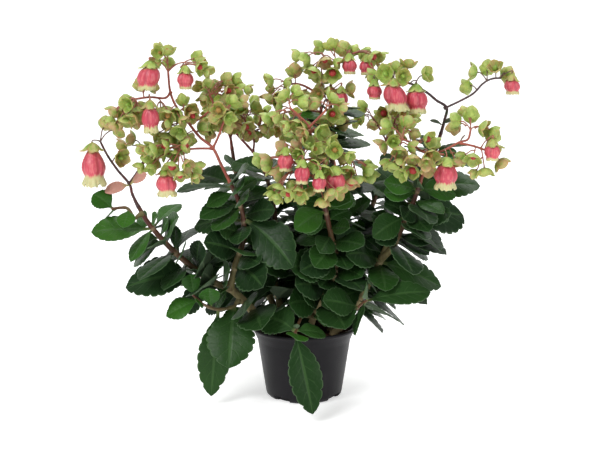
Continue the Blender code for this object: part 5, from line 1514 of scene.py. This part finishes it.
# The smaller leaves that fill the plant out, between the pairs.
for stem_name, (count, first, last, first_size, last_size, turn, own) in LEAF_PAIRS.items():
    stations, radii = paths[stem_name]
    for number in range(2 * count - 1):
        share = (number + 0.5) / (2 * count - 1)
        middle, k = part_way(stations, first + (last - first) * share)
        along = (stations[k + 1] - stations[k]).normalized()
        away = Vector((middle.x, middle.y, 0.0)).normalized()
        hint = along * 0.3 + away * 0.6 + LIGHT * 0.7
        spin = Matrix.Rotation(math.radians(turn + 45 + 70 * number), 3, along)
        facing = spin @ along.orthogonal().normalized()
        for flip in (1, -1):
            aim = facing * flip + along * draw.uniform(0.1, 0.5)
            outward = (facing * flip).normalized()
            base = middle + outward * radii[k] * 0.4
            long = LEAF_LENGTH * draw.uniform(0.62, 0.9) * (first_size + (last_size - first_size) * share)
            skip = radii[k] + LEAF_CLEARANCE * 2
            free, leaf = settle_leaf(base, along, aim, hint, long, long * YOUNG_WIDTH_SHARE, stem_name, skip,
                                     FILL_CHOICES, clearance=GAP)
            if free:
                age = 0.35 * smooth_step(share, 0.6, 1.0) + draw.uniform(0.0, 0.35)
                stem_leaves[stem_name].append(leaf_part(base, leaf, age, draw))

# The last leaves below the flower heads of the left fork, the left middle cane and the centre cane, which
# stand up round the foot of each head's stalk. Each: its turn, how far below the stalk's foot it grows and how
# long it is, in millimetres, and how steeply it stands.
CROWN = [(0, 1, 52, 1.0), (95, 2, 50, 0.8), (180, 1, 54, 0.9), (270, 3, 50, 0.7), (45, 6, 58, 0.6),
         (225, 7, 56, 0.6), (135, 9, 56, 0.5), (315, 9, 52, 0.5)]
for stem_name in ("fork_left", "cane_left_mid", "cane_centre"):
    stations, radii = paths[stem_name]
    along = (stations[-1] - stations[-2]).normalized()
    for turn, back, long, lift in CROWN:
        facing = Matrix.Rotation(math.radians(turn), 3, along) @ along.orthogonal().normalized()
        base = stations[-1] - along * back * MM + facing * radii[-1] * 0.4
        skip = radii[-1] + LEAF_CLEARANCE * 2
        free, leaf = settle_leaf(base, along, facing + along * lift, LIGHT, long * MM, long * 0.6 * MM,
                                 stem_name, skip, FILL_CHOICES, clearance=GAP)
        if free:
            stem_leaves[stem_name].append(leaf_part(base, leaf, draw.uniform(0.1, 0.4), draw))

# The young leaves that sit in the older pairs' axils, two to a joint.
for _, stem_name, number, middle, along, radius, aims, lengths, own, share in pairs:
    away = Vector((middle.x, middle.y, 0.0)).normalized()
    hint = along * 0.2 + away * 0.5 + LIGHT * 0.9
    for aim in aims:
        side = (aim.cross(along) * draw.choice((-1, 1))).normalized()
        outward = ((aim - along * aim.dot(along)).normalized() + side * 0.8).normalized()
        base = middle + along * (3.2 * MM) + outward * (radius * 0.5)
        long = draw.uniform(22, 38) * MM
        skip = radius + COLLAR_WALL + LEAF_CLEARANCE * 2
        free, leaf = settle_leaf(base, along, outward + along * 0.5, hint, long, long * YOUNG_WIDTH_SHARE,
                                 stem_name, skip, SMALL_CHOICES)
        if free:
            note(leaf_room(*leaf))
            stem_leaves[stem_name].append(leaf_part(base, leaf, draw.uniform(0.35, 0.95), draw))

for (stem_name, number), parts in pair_leaves.items():
    name = f"leaves_{stem_name}_{number + 1}"
    place(name, joined_mesh(name, parts), blade, "leaf", name)
for name in CANES:
    parts = list(stem_leaves[name])
    for fork_name, fork in FORKS.items():
        if fork["cane"] == name:
            parts += stem_leaves[fork_name]
    place(name + "_leaves", joined_mesh(name + "_leaves", parts), blade, "leaf", name)


# ---- The bracts --------------------------------------------------------------------------------------------
# Where a flower head forks it keeps its last small leaves as bracts: papery pink ones on the far left head,
# and thin dark green straps on the right. Each is grown on, like the leaves, and faces up from the fork.

# Each: the head, its foot, where its tip comes, its width in millimetres, and how pink it is.
BRACTS = [
    ("head_far_left", (-188, -24, 168), (-211, -36, 164), 15, 1.0),
    ("head_far_left", (-187, -24, 169), (-167, -34, 184), 15, 1.0),
    ("head_right", (151, 8, 231), (137, 3, 237), 5.0, 0.0),
    ("head_right", (151, 8, 231), (163, 4, 239), 5.0, 0.0),
    ("head_right", (147, 6, 203), (117, 0, 218), 5.5, 0.0),
    ("head_right", (147, 6, 205), (178, 2, 211), 5.0, 0.0),
    ("head_right", (155, 8, 238), (156, 2, 248), 1.8, 0.0),
    ("head_low_right", (110, -58, 216), (107, -64, 229), 1.6, 0.4),
    ("head_low_right", (161, -52, 216), (166, -60, 226), 1.6, 0.4),
    ("head_left", (-121, -32, 233), (-112, -44, 240), 2.0, 0.5),
]


def bract_skin():
    finish = Finish("bract", Specular_IOR_Level=0.35, Subsurface_Weight=0.1, Subsurface_Scale=0.003)
    pink, along = finish.mark("young"), finish.mark("along")
    vein = finish.clouds(480.0, 3.0, (1.0, 1.0, 0.4))
    papery = finish.blend(vein, (0.46, 0.20, 0.165), (0.60, 0.34, 0.27))
    papery = finish.blend(finish.span(along, 0.35, 0.05), papery, (0.36, 0.34, 0.12))
    strap = finish.blend(vein, (0.030, 0.060, 0.030), (0.090, 0.110, 0.060))
    finish.raised(vein, 0.0005, 0.6)
    return finish.done(Base_Color=finish.blend(pink, strap, papery),
                       Roughness=finish.span(vein, 0.3, 0.7, 0.45, 0.62))


bract_paper = bract_skin()
bract_parts = {}
for head_name, foot, tip, width, pink in BRACTS:
    start = at(*foot)
    aim = at(*tip) - start
    leaf = (start, aim.normalized() + UP * LEAF_DROOP * 0.6, LIGHT, aim.length, width * MM)
    bract_parts.setdefault(head_name, []).append(leaf_part(start, leaf, pink, draw))
for head_name, parts in bract_parts.items():
    name = head_name + "_bracts"
    place(name, joined_mesh(name, parts), bract_paper, "flower_stalk", head_name)


# ---- The setting -------------------------------------------------------------------------------------------
# A white studio sweep that runs from the floor up behind the plant, a large soft light over the front left,
# a weaker one from the right and one from above and behind, and pale light all round.

SWEEP_WIDTH = 9.0
SWEEP = [(-4.0, 0.0), (1.6, 0.0), (2.2, 0.06), (2.7, 0.28), (3.0, 0.70), (3.1, 1.3), (3.1, 5.0)]
LIGHTS = [("key", (-1.5, -1.9, 2.0), 1.3, 52.0), ("fill", (1.9, -1.5, 1.1), 1.2, 18.0),
          ("top", (0.3, 0.9, 2.3), 1.6, 30.0)]
PLANT_MIDDLE = Vector((0.0, 0.0, 0.20))
WORLD_STRENGTH = 0.28
CAMERA_SPOT = (-0.0045, -1.10, 0.37)
CAMERA_DIP = 9.17
CAMERA_LENS = 60.5


def sweep_parts():
    rows = [[Vector((x, y, z)) for x in (-SWEEP_WIDTH / 2, SWEEP_WIDTH / 2)] for y, z in SWEEP]
    points = [p for row in rows for p in row]
    faces = [(2 * i, 2 * i + 1, 2 * i + 3, 2 * i + 2) for i in range(len(rows) - 1)]
    return [(points, faces, {})]


def sweep_paper():
    finish = Finish("sweep_paper", Specular_IOR_Level=0.2, Roughness=0.85, Emission_Color=(1.0, 1.0, 1.0),
                    Emission_Strength=0.5)
    return finish.done(Base_Color=finish.blend(finish.clouds(3.0), (0.86, 0.86, 0.86), (0.90, 0.90, 0.90)))


sweep_mesh = joined_mesh("floor", sweep_parts())
sweep_mesh.materials.append(sweep_paper())
sweep = bpy.data.objects.new("floor", sweep_mesh)
bpy.context.scene.collection.objects.link(sweep)

for name, spot, size, power in LIGHTS:
    lamp = bpy.data.lights.new(name, "AREA")
    lamp.shape = "DISK"
    lamp.size = size
    lamp.energy = power
    stand = bpy.data.objects.new(name, lamp)
    stand.location = spot
    stand.rotation_euler = (Vector(spot) - PLANT_MIDDLE).to_track_quat("Z", "Y").to_euler()
    bpy.context.scene.collection.objects.link(stand)

world = bpy.data.worlds.new("studio")
world.use_nodes = True
world.node_tree.nodes["Background"].inputs["Color"].default_value = (1.0, 1.0, 1.0, 1.0)
world.node_tree.nodes["Background"].inputs["Strength"].default_value = WORLD_STRENGTH
bpy.context.scene.world = world
bpy.context.scene.view_settings.view_transform = "Standard"

lens = bpy.data.cameras.new("camera")
lens.lens = CAMERA_LENS
lens.sensor_width = 36.0
camera = bpy.data.objects.new("camera", lens)
camera.location = CAMERA_SPOT
camera.rotation_euler = (math.radians(90 - CAMERA_DIP), 0.0, 0.0)
bpy.context.scene.collection.objects.link(camera)
bpy.context.scene.camera = camera
